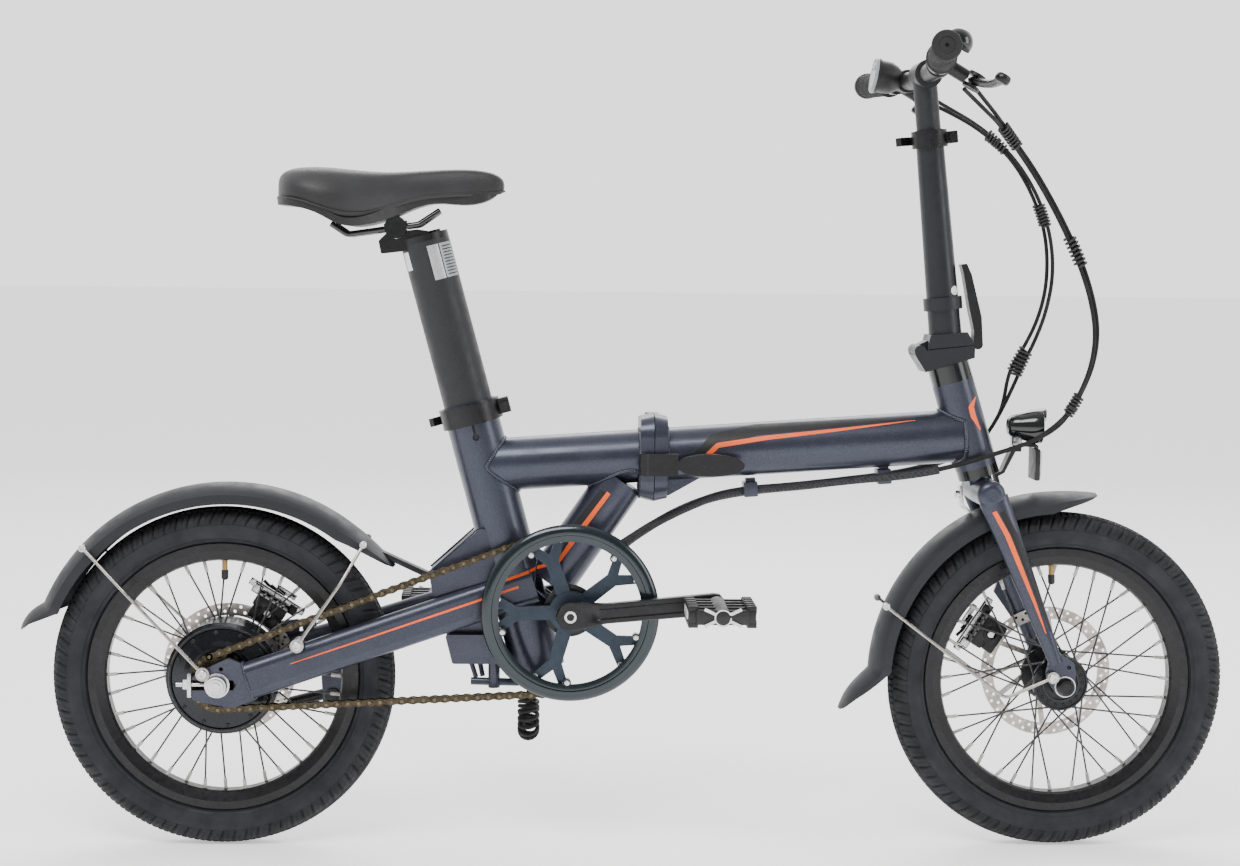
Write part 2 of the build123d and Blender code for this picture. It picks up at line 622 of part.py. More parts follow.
with BuildPart() as chainring:
    extrude(toothed_disc(bracket_x, bracket_z, ring_teeth, ring_radius), amount=1.1, both=True)
    crosswise(bracket_x, bracket_z, -40, -55, 87.5, Mode.SUBTRACT)
    with BuildSketch(Plane.XZ.offset(47.2)) as spider:
        with Locations((bracket_x, bracket_z)):
            Circle(25)
        for step in range(5):
            turn = radians(110 - 72 * step)
            for fork in (-0.21, 0.21):
                with BuildLine() as arm_outline:
                    out = turn + fork
                    Polyline(
                        (bracket_x + 18 * cos(turn - 0.5), bracket_z + 18 * sin(turn - 0.5)),
                        (bracket_x + 62 * cos(turn - 0.13), bracket_z + 62 * sin(turn - 0.13)),
                        (bracket_x + 90 * cos(out - 0.06), bracket_z + 90 * sin(out - 0.06)),
                        (bracket_x + 90 * cos(out + 0.06), bracket_z + 90 * sin(out + 0.06)),
                        (bracket_x + 62 * cos(turn + 0.13), bracket_z + 62 * sin(turn + 0.13)),
                        (bracket_x + 18 * cos(turn + 0.5), bracket_z + 18 * sin(turn + 0.5)),
                        close=True,
                    )
                make_face(arm_outline.edges())
    extrude(spider.sketch, amount=4)
    crosswise(bracket_x, bracket_z, -44.5, -53, 24)
    crosswise(bracket_x, bracket_z, -38, -60, 9, Mode.SUBTRACT)
chainring.part.label = "chainring"
export_step(chainring.part, "parts/chainring.step")

with BuildPart() as chain_guard:
    turned(bracket_x, bracket_z, [
        (-58.5, 83), (-58.5, 99), (-56.5, 104.5), (-59, 104.5), (-62.5, 99), (-62.5, 93), (-61, 83),
    ])
    for step in range(5):
        turn = radians(124 - 72 * step)
        x, z = bracket_x + 82.5 * cos(turn), bracket_z + 82.5 * sin(turn)
        crosswise(x, z, -51.3, -61, 5)
chain_guard.part.label = "chain_guard"
export_step(chain_guard.part, "parts/chain_guard.step")

pedal_reach = (crank_length * cos(crank_angle), crank_length * sin(crank_angle))
with BuildPart() as crank_arms:
    crosswise(bracket_x, bracket_z, -84, 84, 9)
    for side in (-1, 1):
        tip = (bracket_x - side * pedal_reach[0], bracket_z - side * pedal_reach[1])
        across = Vector(-sin(crank_angle), cos(crank_angle))
        with BuildSketch(Plane.XZ.offset(side * -75)) as arm:
            with BuildLine():
                Polyline(
                    (bracket_x + across.X * 16, bracket_z + across.Y * 16),
                    (tip[0] + across.X * 12, tip[1] + across.Y * 12),
                    (tip[0] - across.X * 12, tip[1] - across.Y * 12),
                    (bracket_x - across.X * 16, bracket_z - across.Y * 16),
                    close=True,
                )
            make_face()
            with Locations((bracket_x, bracket_z)):
                Circle(17)
            with Locations(tip):
                Circle(12)
        extrude(arm.sketch, amount=-side * 13)
        crosswise(bracket_x, bracket_z, side * 38 if side > 0 else -54, side * 76, 14)
        crosswise(*tip, side * 74, side * 90, 6.05, Mode.SUBTRACT)
        crosswise(bracket_x, bracket_z, side * 85, side * 89, 11, Mode.SUBTRACT)
        crosswise(bracket_x, bracket_z, side * 84.5, side * 87.5, 6.5)
crank_arms.part.label = "crank_arms"
export_step(crank_arms.part, "parts/crank_arms.step")

for name, side in (("right_pedal", -1), ("left_pedal", 1)):
    x = bracket_x - side * pedal_reach[0]
    z = bracket_z - side * pedal_reach[1]
    with BuildPart() as pedal:
        crosswise(x, z, side * 74.8, side * 183, 6)
        crosswise(x, z, side * 92, side * 184, 11)
        for bar_x in (-32, 32):
            with BuildSketch(Plane.XZ.offset(-side * 98)) as rail:
                with Locations((x + bar_x, z)):
                    RectangleRounded(12, 24, 4)
            extrude(rail.sketch, amount=-side * 84)
        for end_y in (98, 176):
            with BuildSketch(Plane.XZ.offset(-side * end_y)) as end_plate:
                with Locations((x, z)):
                    RectangleRounded(70, 20, 5)
            extrude(end_plate.sketch, amount=-side * 7)
    pedal.part.label = name
    export_step(pedal.part, "parts/" + name + ".step")

# ---------------------------------------------------------------- brakes
def caliper(x, rotor_y, z, tilt):
    """A mechanical disc caliper astride the rotor, with its cable arm."""
    plane = Plane(origin=(x, rotor_y, z), x_dir=(cos(radians(tilt)), 0, sin(radians(tilt))), z_dir=(0, -1, 0))
    with BuildSketch(plane.offset(-18)) as body:
        RectangleRounded(46, 34, 7)
    extrude(body.sketch, amount=36)
    with BuildSketch(plane.offset(-21)) as knob:
        with Locations((2, 0)):
            Circle(13)
    extrude(knob.sketch, amount=40)
    with BuildSketch(plane.offset(-24)) as arm:
        with Locations((2, 6)):
            RectangleRounded(12, 44, 4)
        with Locations((8, 26)):
            RectangleRounded(26, 8, 3)
    extrude(arm.sketch, amount=4)
    with BuildSketch(plane.offset(-9)) as bridge:
        with Locations((0, 19)):
            RectangleRounded(78, 9, 3)
    extrude(bridge.sketch, amount=6)


def rotor_slot(x, rotor_y):
    """The slot that the rotor runs through."""
    near, far = rotor_y - 2, rotor_y + 2
    turned(x, wheel_radius, [(near, 10), (near, 82), (far, 82), (far, 10)], Mode.SUBTRACT)


with BuildPart() as rear_caliper:
    caliper(-434, rear_rotor_y, 274, 58 - 90)
    rotor_slot(rear_x, rear_rotor_y)
    plate(brake_tab, 51.5, 56.2, mode=Mode.SUBTRACT)
rear_caliper.part.label = "rear_caliper"
export_step(rear_caliper.part, "parts/rear_caliper.step")

with BuildPart() as front_caliper:
    caliper(446, front_rotor_y, 250, 147 - 90)
    rotor_slot(front_x, front_rotor_y)
front_caliper.part.label = "front_caliper"
export_step(front_caliper.part, "parts/front_caliper.step")

# ---------------------------------------------------------------- fenders and stays
fender_half_width = 31


def fender(x, z, outer, start, end):
    """A curved fender with shallow skirts, between two angles about its own centre."""
    turn = radians(start)
    section_plane = Plane(origin=(x, 0, z), x_dir=(0, 1, 0), z_dir=(sin(turn), 0, -cos(turn)))
    half = fender_half_width
    with BuildSketch(section_plane) as section:
        with BuildLine():
            Line((-half, outer - 24), (-half, outer - 13))
            ThreePointArc((-half, outer - 13), (0, outer), (half, outer - 13))
            Line((half, outer - 13), (half, outer - 24))
            Line((half, outer - 24), (half - 1.8, outer - 24))
            Line((half - 1.8, outer - 24), (half - 1.8, outer - 14))
            ThreePointArc((half - 1.8, outer - 14), (0, outer - 1.9), (1.8 - half, outer - 14))
            Line((1.8 - half, outer - 14), (1.8 - half, outer - 24))
            Line((1.8 - half, outer - 24), (-half, outer - 24))
        make_face()
    revolve(section.sketch, axis=Axis((x, 0, z), (0, -1, 0)), revolution_arc=end - start)


def mudflap(root, tip, width):
    """A flat flap that carries on from a fender's tail."""
    run = Vector(tip[0] - root[0], 0, tip[1] - root[1])
    with BuildSketch(Plane(origin=(root[0], 0, root[1]), x_dir=run,
                           z_dir=run.cross(Vector(0, 1, 0)))) as outline:
        with BuildLine():
            reach = run.length
            Line((0, -width), (0, width))
            Spline((0, width), (reach * 0.6, width * 0.86), (reach, 0), tangents=((1, 0), (0, -1)))
            Spline((reach, 0), (reach * 0.6, -width * 0.86), (0, -width), tangents=((0, -1), (-1, 0)))
        make_face()
    extrude(outline.sketch, amount=1.1, both=True)


with BuildPart() as rear_fender:
    fender(rear_x + 6.5, wheel_radius - 6.5, 239, 35.6, 157)
    plate([(-312, 338), (-304, 335.2), (-278, 338.5), (-278, 316), (-315, 316)], -35, 35, mode=Mode.SUBTRACT)
    mudflap((-690, 298), (-721, 259), 27)
    # the bracket that ties the fender to the yoke
    plate([(-297.4, 356.3), (-236.4, 328), (-235.2, 320), (-299, 350)], -8, 8)
rear_fender.part.label = "rear_fender"
export_step(rear_fender.part, "parts/rear_fender.step")

with BuildPart() as front_fender:
    fender(front_x, wheel_radius, 228, 79, 177)
    mudflap((294.5, 222), (257, 166), 27)
front_fender.part.label = "front_fender"
export_step(front_fender.part, "parts/front_fender.step")

with BuildPart() as rear_fender_stays:
    for side in (-1, 1):
        bent_rod([(-641, side * 33.5, 359), (-590, side * 52, 310), (-496, side * 70.5, 217)], 2, 25)
        bent_rod([(-313, side * 33.5, 365), (-338, side * 58, 322), (-386.5, side * 74, 251.5)], 2, 25)
        crosswise(-496, 217, side * 66, side * 73.5, 8)
        crosswise(-386.5, 251.5, side * 69.5, side * 76.5, 8)
        for x, z in ((-641, 359), (-313, 365)):
            crosswise(x, z, side * 31.2, side * 35.5, 4)
rear_fender_stays.part.label = "rear_fender_stays"
export_step(rear_fender_stays.part, "parts/rear_fender_stays.step")

with BuildPart() as front_fender_stays:
    for side in (-1, 1):
        bent_rod([(308, side * 33.5, 295), (448, side * 60, 189.7), (504, side * 62, 215)], 2, 12)
        crosswise(504, 215, side * 56.8, side * 64.5, 7)
        crosswise(308, 295, side * 31.2, side * 35.5, 4)
front_fender_stays.part.label = "front_fender_stays"
export_step(front_fender_stays.part, "parts/front_fender_stays.step")

# ---------------------------------------------------------------- front frame
with BuildPart() as front_frame:
    sleeve(head_plane, 0, head_length, 25)
    rod((40, 0, main_tube_z(40)), (400, 0, main_tube_z(400)), main_tube_radius)
    with BuildSketch(Plane.YZ.offset(hinge_x + hinge_gap)) as casting:
        with Locations((-1, casting_z)):
            RectangleRounded(*casting_size, casting_corner)
    extrude(casting.sketch, amount=casting_depth, taper=casting_taper)
    plate([(44, 421), (88, 446), (88, 460), (44, 460)], -9, 9, corner=3)
    with BuildSketch(Plane.XY.offset(448.6)) as knuckle:
        with Locations((hinge_x, hinge_y)):
            Circle(11)
        with Locations((hinge_x + 8.2, hinge_y - 8)):
            Rectangle(15.6, 18)
    extrude(knuckle.sketch, amount=40.8)
    for low, high in ((420, 448.6), (489.4, 520)):
        with BuildSketch(Plane.XY.offset(low)) as knuckle_room:
            with Locations((hinge_x, hinge_y)):
                Circle(11.8)
        extrude(knuckle_room.sketch, amount=high - low, mode=Mode.SUBTRACT)
    with BuildSketch(Plane.XY.offset(440)) as pin_bore:
        with Locations((hinge_x, hinge_y)):
            Circle(5.06)
    extrude(pin_bore.sketch, amount=60, mode=Mode.SUBTRACT)
    rod((50, 0, main_tube_z(50)), (365, 0, main_tube_z(365)), main_tube_bore, Mode.SUBTRACT)
    sleeve(head_plane, -1, head_length + 1, 21.5, mode=Mode.SUBTRACT)
front_frame.part.label = "front_frame"
export_step(front_frame.part, "parts/front_frame.step")

latch_x, latch_y = 17, -49.5
with BuildPart() as frame_latch_lever:
    with BuildSketch(Plane.XY.offset(451)) as arm:
        with Locations((latch_x, latch_y)):
            Circle(6.5)
        with BuildLine() as arm_outline:
            Polyline((latch_x, -42.8), (latch_x, -54), (56, -57), (56, -46), (latch_x + 18, -44), close=True)
        make_face(arm_outline.edges())
    extrude(arm.sketch, amount=26)
    with BuildSketch(Plane.XZ.offset(44)) as paddle:
        with Locations((94, 464)):
            Ellipse(40, 13)
    extrude(paddle.sketch, amount=13)
frame_latch_lever.part.label = "frame_latch_lever"
export_step(frame_latch_lever.part, "parts/frame_latch_lever.step")

with BuildPart() as headset:
    sleeve(head_plane, head_length, head_length + 21.5, 25, 14.4)
    sleeve(head_plane, head_length - 12, head_length, 21.5, 14.4)
    sleeve(head_plane, -12, 0, 25, 14.4)
    sleeve(head_plane, 0, 10, 21.5, 14.4)
headset.part.label = "headset"
export_step(headset.part, "parts/headset.step")

# ---------------------------------------------------------------- fork
steerer_top = head_length + 32
crown_radius = 17
with BuildPart() as fork:
    sleeve(head_plane, -30, steerer_top, 14.25)
    crown_at = on_head(-31)
    crosswise(crown_at.X, crown_at.Z, -57, 57, crown_radius)
    fillet(fork.edges().filter_by(GeomType.CIRCLE).sort_by(Axis.Y)[0], 9)
    fillet(fork.edges().filter_by(GeomType.CIRCLE).sort_by(Axis.Y)[-1], 9)
    for side in (-1, 1):
        leg_top = Plane(origin=(436, side * 47.5, 413), x_dir=(1, 0, 0.41), z_dir=(-0.38, side * -0.05, 0.92))
        leg_foot = Plane(origin=(508.4, side * 56.9, 231), x_dir=(1, 0, 0.41),
                         z_dir=(-0.38, side * -0.05, 0.92))
        with BuildSketch(leg_foot) as foot:
            Ellipse(8, 6.5)
        with BuildSketch(leg_top.offset(14)) as top:
            Ellipse(18, 10)
        loft([foot.sketch.face(), top.sketch.face()])
        plate([(501, 236), (513, 243), (530, 232), (533, 220), (530, 193), (510, 193), (500, 208),
               (497, 218)],
              side * fork_inner, side * fork_outer, corner=4)
        plate([(515, 180), (525, 180), (525, 203), (515, 203)], side * 48, side * 60, mode=Mode.SUBTRACT)
        crosswise(front_x, wheel_radius, side * 48, side * 60, 5, Mode.SUBTRACT)
        crosswise(524, 226, side * 48, side * 60, 2.5, Mode.SUBTRACT)
        crosswise(504, 215, side * 48, side * 60, 2.5, Mode.SUBTRACT)
    # the brake's mounting tab behind the left leg
    plate([(462, 322), (480, 300), (497, 262), (486, 256), (468, 282), (455, 300)], 50, 56, corner=2)
fork.part.label = "fork"
export_step(fork.part, "parts/fork.step")

# ---------------------------------------------------------------- folding stem: base, post and latch
nose_x, nose_z = 344, 599
with BuildPart() as stem_base:
    plate([(352, 572), (402, 572), (409, 590), (409, 606.2), (352, 599.8), (337, 598.5), (338, 594)], -24,
          24, corner=1)
    with BuildSketch(head_plane.offset(head_length + 21.7)) as above_headset:
        Rectangle(140, 80)
    extrude(above_headset.sketch, amount=-50, mode=Mode.SUBTRACT)
    for side in (-1, 1):
        crosswise(nose_x, nose_z, side * 12.6, side * 24, 7)
    crosswise(nose_x, nose_z, -12.5, 12.5, 7.8, Mode.SUBTRACT)
    sleeve(head_plane, head_length + 21, steerer_top + 0.1, 14.27, mode=Mode.SUBTRACT)
    plate([(351.5, 600.2), (430, 608.4), (430, 640), (351.5, 640)], -30, 30, mode=Mode.SUBTRACT)
    # the hinge's pin
    crosswise(nose_x, nose_z, -13, 13, 4)
stem_base.part.label = "stem_base"
export_step(stem_base.part, "parts/stem_base.step")

post_length = 240
with BuildPart() as handlepost:
    plate([(352.5, 601), (409, 607), (400, 622), (356, 618)], -23, 23, corner=1)
    crosswise(nose_x, nose_z, -12.1, 12.1, 7)
    plate([(344, 599.6), (356, 601.2), (356, 612), (341, 605)], -12.1, 12.1)
    with BuildSketch(stem_plane.offset(-8)) as foot:
        Circle(19.5)
    with BuildSketch(stem_plane.offset(post_length)) as top:
        Circle(16.2)
    loft([foot.sketch.face(), top.sketch.face()])
    sleeve(stem_plane, 26, 41, 23)
    crosswise(nose_x, nose_z, -30, 30, 4.06, Mode.SUBTRACT)
    sleeve(stem_plane, 40, post_length + 1, 14.4, mode=Mode.SUBTRACT)
handlepost.part.label = "handlepost"
export_step(handlepost.part, "parts/handlepost.step")

latch_pin_x, latch_pin_z = 415.5, 607
with BuildPart() as post_latch_lever:
    crosswise(latch_pin_x, latch_pin_z, -9, 9, 5.9)
    plate([(410.2, 607), (421.3, 607), (419, 640), (406, 690), (400, 703), (393, 702), (396.5, 690),
           (404, 650),
           (410.2, 624)], -9, 9, corner=1)
post_latch_lever.part.label = "post_latch_lever"
export_step(post_latch_lever.part, "parts/post_latch_lever.step")

with BuildPart() as post_clamp:
    split_collar(stem_plane, 16.6, post_length - 21, post_length - 1)
post_clamp.part.label = "post_clamp"
export_step(post_clamp.part, "parts/post_clamp.step")

with BuildPart() as post_clamp_lever:
    collar_lever(stem_plane, 16.6, post_length - 21, post_length - 1)
post_clamp_lever.part.label = "post_clamp_lever"
export_step(post_clamp_lever.part, "parts/post_clamp_lever.step")

# ---------------------------------------------------------------- handlebar
bar_x, bar_z = 346.5, 925
with BuildPart() as handlebar:
    sleeve(stem_plane, 105, 300, 14.3)
    crosswise(bar_x, bar_z, -24, 24, 16.5)
    bent_rod([(bar_x - 27, -bar_half_width + 4, bar_z + 8), (bar_x - 2, -85, bar_z),
              (bar_x, 0, bar_z + 0.01)], 11.1, 60)
    bent_rod([(bar_x - 27, bar_half_width - 4, bar_z + 8), (bar_x - 2, 85, bar_z),
              (bar_x, 0, bar_z + 0.01)], 11.1, 60)
handlebar.part.label = "handlebar"
export_step(handlebar.part, "parts/handlebar.step")


def on_bar(y):
    """A point on the bar's outer straight, at this distance from the middle."""
    share = (abs(y) - 85) / (bar_half_width - 4 - 85)
    return (bar_x - 2 - 25 * share, y, bar_z + 8 * share)


with BuildPart() as grips:
    for side in (-1, 1):
        inner_end, outer_end = on_bar(side * (bar_half_width - grip_length)), on_bar(side * bar_half_width)
        rod(inner_end, outer_end, 15.5)
        rod(inner_end, on_bar(side * (bar_half_width - 4)), 11.15, Mode.SUBTRACT)
grips.part.label = "grips"
export_step(grips.part, "parts/grips.step")

# a brake lever's blade stands ahead of the bar and a little below it
lever_forward = Vector(0.87, 0, -0.5)
lever_up = Vector(0.5, 0, 0.87)
bracket_y = 152
with BuildPart() as brake_lever_brackets:
    for side in (-1, 1):
        clamp_at = Vector(*on_bar(side * bracket_y))
        rod(on_bar(side * (bracket_y - 8)), on_bar(side * (bracket_y + 8)), 14.8)
        neck = clamp_at + lever_forward * 10
        head = clamp_at + lever_forward * 44
        rod(neck, head, 8)
        for level in (-1, 1):
            low = head + lever_up * (level * 5.2)
            high = head + lever_up * (level * 9)
            rod(low, high, 10)
        barrel = head + Vector(0, -side * 5, 0)
        rod(barrel, (barrel + Vector(4, -side * 26, 0)), 4.5)
        rod((head - lever_up * 5.15), (head + lever_up * 5.15), 12, Mode.SUBTRACT)
        rod(on_bar(side * (bracket_y - 9)), on_bar(side * (bracket_y + 9)), 11.2, Mode.SUBTRACT)
brake_lever_brackets.part.label = "brake_lever_brackets"
export_step(brake_lever_brackets.part, "parts/brake_lever_brackets.step")

for name, side in (("right_brake_lever", -1), ("left_brake_lever", 1)):
    pivot = Vector(*on_bar(side * bracket_y)) + lever_forward * 44
    lever_plane = Plane(origin=pivot - lever_up * 4.5, x_dir=(0, side, 0), z_dir=lever_up * 1)
    ahead = 1 if lever_plane.y_dir.X > 0 else -1
    with BuildPart() as lever:
        with BuildSketch(lever_plane) as blade:
            Circle(8)
            with BuildLine() as blade_outline:
                Polyline((0, ahead * 8), (20, ahead * 14), (60, ahead * 17), (104, ahead * 15),
                         (104, ahead * 7),
                         (60, ahead * 7), (22, ahead * 3), (2, ahead * -7), close=True)
            make_face(blade_outline.edges())
            with Locations((106, ahead * 11)):
                Circle(8.5)
        extrude(blade.sketch, amount=9)
    lever.part.label = name
    export_step(lever.part, "parts/" + name + ".step")

with BuildPart() as bell:
    bell_at = Vector(*on_bar(-118))
    rod(on_bar(-111), on_bar(-125), 13.6)
    rod((bell_at + Vector(8, 0, 9)), (bell_at + Vector(22, 0, 26)), 6)
    with BuildSketch(Plane(origin=(bell_at + Vector(21, 0, 25)), z_dir=(0.66, 0, 0.75))) as rim_edge:
        Circle(17)
    extrude(rim_edge.sketch, amount=20)
    fillet(bell.faces().sort_by(Axis((0, 0, 0), (0.66, 0, 0.75)))[-1].edges(), 8)
    rod(on_bar(-110), on_bar(-126), 11.2, Mode.SUBTRACT)
bell.part.label = "bell"
export_step(bell.part, "parts/bell.step")

with BuildPart() as display:
    display_at = Vector(*on_bar(104))
    rod(on_bar(97), on_bar(111), 14)
    back = Vector(-0.985, 0, 0.17)
    rod((display_at + back * 6), (display_at + back * 38), 20)
    rod((display_at + back * 38), (display_at + back * 42), 22)
    rod(on_bar(70), on_bar(140), 11.2, Mode.SUBTRACT)
display.part.label = "display"
export_step(display.part, "parts/display.step")

# ---------------------------------------------------------------- headlamp
lamp_pivot = (466, 489)
with BuildPart() as lamp_bracket:
    foot = [on_head(up, forward) for up, forward in ((-15, 17.3), (-38, 17.3), (-38, 21), (-18, 21),
                                                     (-16.5, 29))]
    plate([(x, z) for x, y, z in foot] + [(464, 479), (471, 479), (471, 484), (460, 484), (448.2, 456)],
          -9, 9)
lamp_bracket.part.label = "lamp_bracket"
export_step(lamp_bracket.part, "parts/lamp_bracket.step")

with BuildPart() as headlamp:
    with BuildSketch(Plane(origin=(456, 0, 509), x_dir=(0, 1, 0), z_dir=(1, 0, 0))) as back:
        Circle(13)
    with BuildSketch(Plane(origin=(490, 0, 509), x_dir=(0, 1, 0), z_dir=(1, 0, 0))) as front:
        Circle(21)
    loft([back.sketch.face(), front.sketch.face()])
    rod((490, 0, 509), (496, 0, 509), 21)
    plate([(470, 526), (500, 531), (500, 527), (470, 522)], -15, 15)
    plate([(461.1, 489), (474, 489), (474, 498), (460, 498)], -7, 7)
    crosswise(*lamp_pivot, -7, 7, 4.9)
    plate([(474, 486), (474, 490), (487, 490), (487, 483.5), (494, 483.5), (494, 446), (487, 446),
           (484, 486)], -20, 20)
headlamp.part.label = "headlamp"
export_step(headlamp.part, "parts/headlamp.step")

# ---------------------------------------------------------------- cables held along their whole length
cable_radius = 2.4
right_head = Vector(*on_bar(-bracket_y)) + lever_forward * 44
left_head = Vector(*on_bar(bracket_y)) + lever_forward * 44
upper_routes = [
    # the right lever's brake cable and motor cut-off lead, then the left lever's cable and the display's lead
    [(right_head.X + 4, -118, right_head.Z), (404, -92, 884), (424, -66, 868), (446, -44, 846),
     (472, -33, 815),
     (496, -29, 778), (517, -28, 740), (536, -28, 700), (549, -28.5, 660), (555, -29, 622), (550, -29.5, 584),
     (536, -29, 549), (519, -28, 520)],
    [(right_head.X - 6, -124, right_head.Z - 6), (398, -98, 876), (418, -72, 862), (440, -50, 840),
     (465, -39, 809),
     (489, -35, 772), (510, -34, 734), (529, -34, 694), (542, -34, 655), (548, -34, 618), (544, -34.5, 581),
     (531, -34, 547), (514, -33, 519)],
    [(left_head.X + 4, 118, left_head.Z), (398, 92, 890), (414, 66, 877), (434, 45, 859), (460, 33, 833),
     (484, 27, 798), (500, 24, 761), (509, 23, 724), (511, 23.5, 687), (505, 24, 650), (494, 25, 616),
     (478, 27, 582)],
    [(352, 104, 903), (366, 84, 899), (386, 66, 887), (411, 49, 871), (438, 38, 848), (463, 33, 819),
     (482, 31, 783), (494, 30, 747), (500, 30, 710), (499, 30.5, 672), (491, 31, 636), (478, 32, 603),
     (462, 32.5, 574)],
]
with BuildPart() as handlebar_cables:
    for route in upper_routes:
        length, bend = bent_rod(route, cable_radius)
        print("handlebar cable", round(length, 1), "smallest bend", round(bend, 1))
handlebar_cables.part.label = "handlebar_cables"
export_step(handlebar_cables.part, "parts/handlebar_cables.step")

lower_routes = [
    # down the right of the head tube and under the main tube, past the hinge's underside to the controller
    [(518.4, -28, 519), (502, -29.5, 505), (480, -32, 494), (453, -34.5, 485), (424, -36, 476),
     (392, -35, 466),
     (358, -29, 457), (320, -18, 450), (278, -9, 445.5), (233, -7, 440), (188, -7, 435), (143, -7, 431.5),
     (104, -7.5, 424), (68, -8, 409), (36, -9, 393), (8, -12, 376), (-18, -17, 359)],
    [(477.6, 27, 581), (468, 30, 556), (457, 33, 530), (445, 35.5, 506), (430, 36, 485), (406, 35.5, 470),
     (374, 32, 459), (338, 23, 451), (300, 12, 446), (260, 5, 442), (216, 4, 436), (172, 4, 432), (130, 3, 427),
     (94, 2, 419), (60, 1, 405), (30, -1, 388), (4, -5, 371), (-20, -11, 353)],
]
with BuildPart() as frame_cables:
    for route in lower_routes:
        length, bend = bent_rod(route, cable_radius)
        print("frame cable", round(length, 1), "smallest bend", round(bend, 1))
frame_cables.part.label = "frame_cables"
export_step(frame_cables.part, "parts/frame_cables.step")
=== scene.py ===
import json
from math import asin, atan2, ceil, cos, degrees, pi, radians, sin, sqrt, tau

import bmesh
import bpy
from mathutils import Matrix, Vector
from mathutils.bvhtree import BVHTree
from mathutils.noise import noise


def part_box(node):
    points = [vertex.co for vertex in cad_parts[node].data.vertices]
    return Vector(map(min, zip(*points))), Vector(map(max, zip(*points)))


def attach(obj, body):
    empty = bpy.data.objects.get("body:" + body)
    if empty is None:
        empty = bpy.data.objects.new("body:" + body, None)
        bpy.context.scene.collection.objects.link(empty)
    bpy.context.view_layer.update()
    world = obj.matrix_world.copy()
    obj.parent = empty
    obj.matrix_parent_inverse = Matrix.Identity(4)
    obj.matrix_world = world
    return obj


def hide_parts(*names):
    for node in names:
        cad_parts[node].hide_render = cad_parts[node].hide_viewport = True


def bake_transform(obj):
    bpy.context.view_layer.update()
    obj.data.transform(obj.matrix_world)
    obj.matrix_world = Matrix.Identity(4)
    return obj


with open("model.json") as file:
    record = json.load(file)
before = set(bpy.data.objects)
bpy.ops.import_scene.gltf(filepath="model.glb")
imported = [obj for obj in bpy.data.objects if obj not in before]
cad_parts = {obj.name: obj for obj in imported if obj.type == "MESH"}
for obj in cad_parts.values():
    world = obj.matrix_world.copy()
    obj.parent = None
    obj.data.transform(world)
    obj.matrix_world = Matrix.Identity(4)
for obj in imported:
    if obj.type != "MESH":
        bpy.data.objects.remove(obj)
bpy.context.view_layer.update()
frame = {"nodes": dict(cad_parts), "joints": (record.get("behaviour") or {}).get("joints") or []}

NODES = frame["nodes"]
MM = 0.001
WHEEL_Z = 203
REAR_X, FRONT_X = -480, 520
BRACKET = (-69, 289)


def mm(x, y, z):
    """A point given in millimetres."""
    return Vector((x, y, z)) * MM


# ---------------------------------------------------------------- camera, light and floor
def set_camera():
    yaw, pitch, roll = 0.03849, 0.08217, 0.01131
    level = Vector((cos(yaw), -sin(yaw), 0))
    ahead = Vector((sin(yaw), cos(yaw), 0)) * cos(pitch) - Vector((0, 0, sin(pitch)))
    above = level.cross(ahead)
    right = level * cos(roll) + above * sin(roll)
    up = above * cos(roll) - level * sin(roll)
    data = bpy.data.cameras.new("camera")
    data.sensor_width = 36
    data.lens = 36 * 2147.3 / 1240
    camera = bpy.data.objects.new("camera", data)
    turn = Matrix((right, up, -ahead)).transposed().to_4x4()
    camera.matrix_world = Matrix.Translation((-0.1089, -2.5533, 0.7073)) @ turn
    bpy.context.scene.collection.objects.link(camera)
    bpy.context.scene.camera = camera


def area_light(name, place, aim, size, power):
    data = bpy.data.lights.new(name, "AREA")
    data.shape = "RECTANGLE"
    data.size, data.size_y = size
    data.energy = power
    lamp = bpy.data.objects.new(name, data)
    lamp.location = place
    lamp.rotation_euler = (Vector(aim) - Vector(place)).to_track_quat("-Z", "Y").to_euler()
    bpy.context.scene.collection.objects.link(lamp)


# the light is stronger behind the bicycle, and the floor glows a little, so both run together
WORLD_NEAR, WORLD_FAR = 0.38, 1.9
FLOOR_REACH = 40
FLOOR_GLOW = 0.55


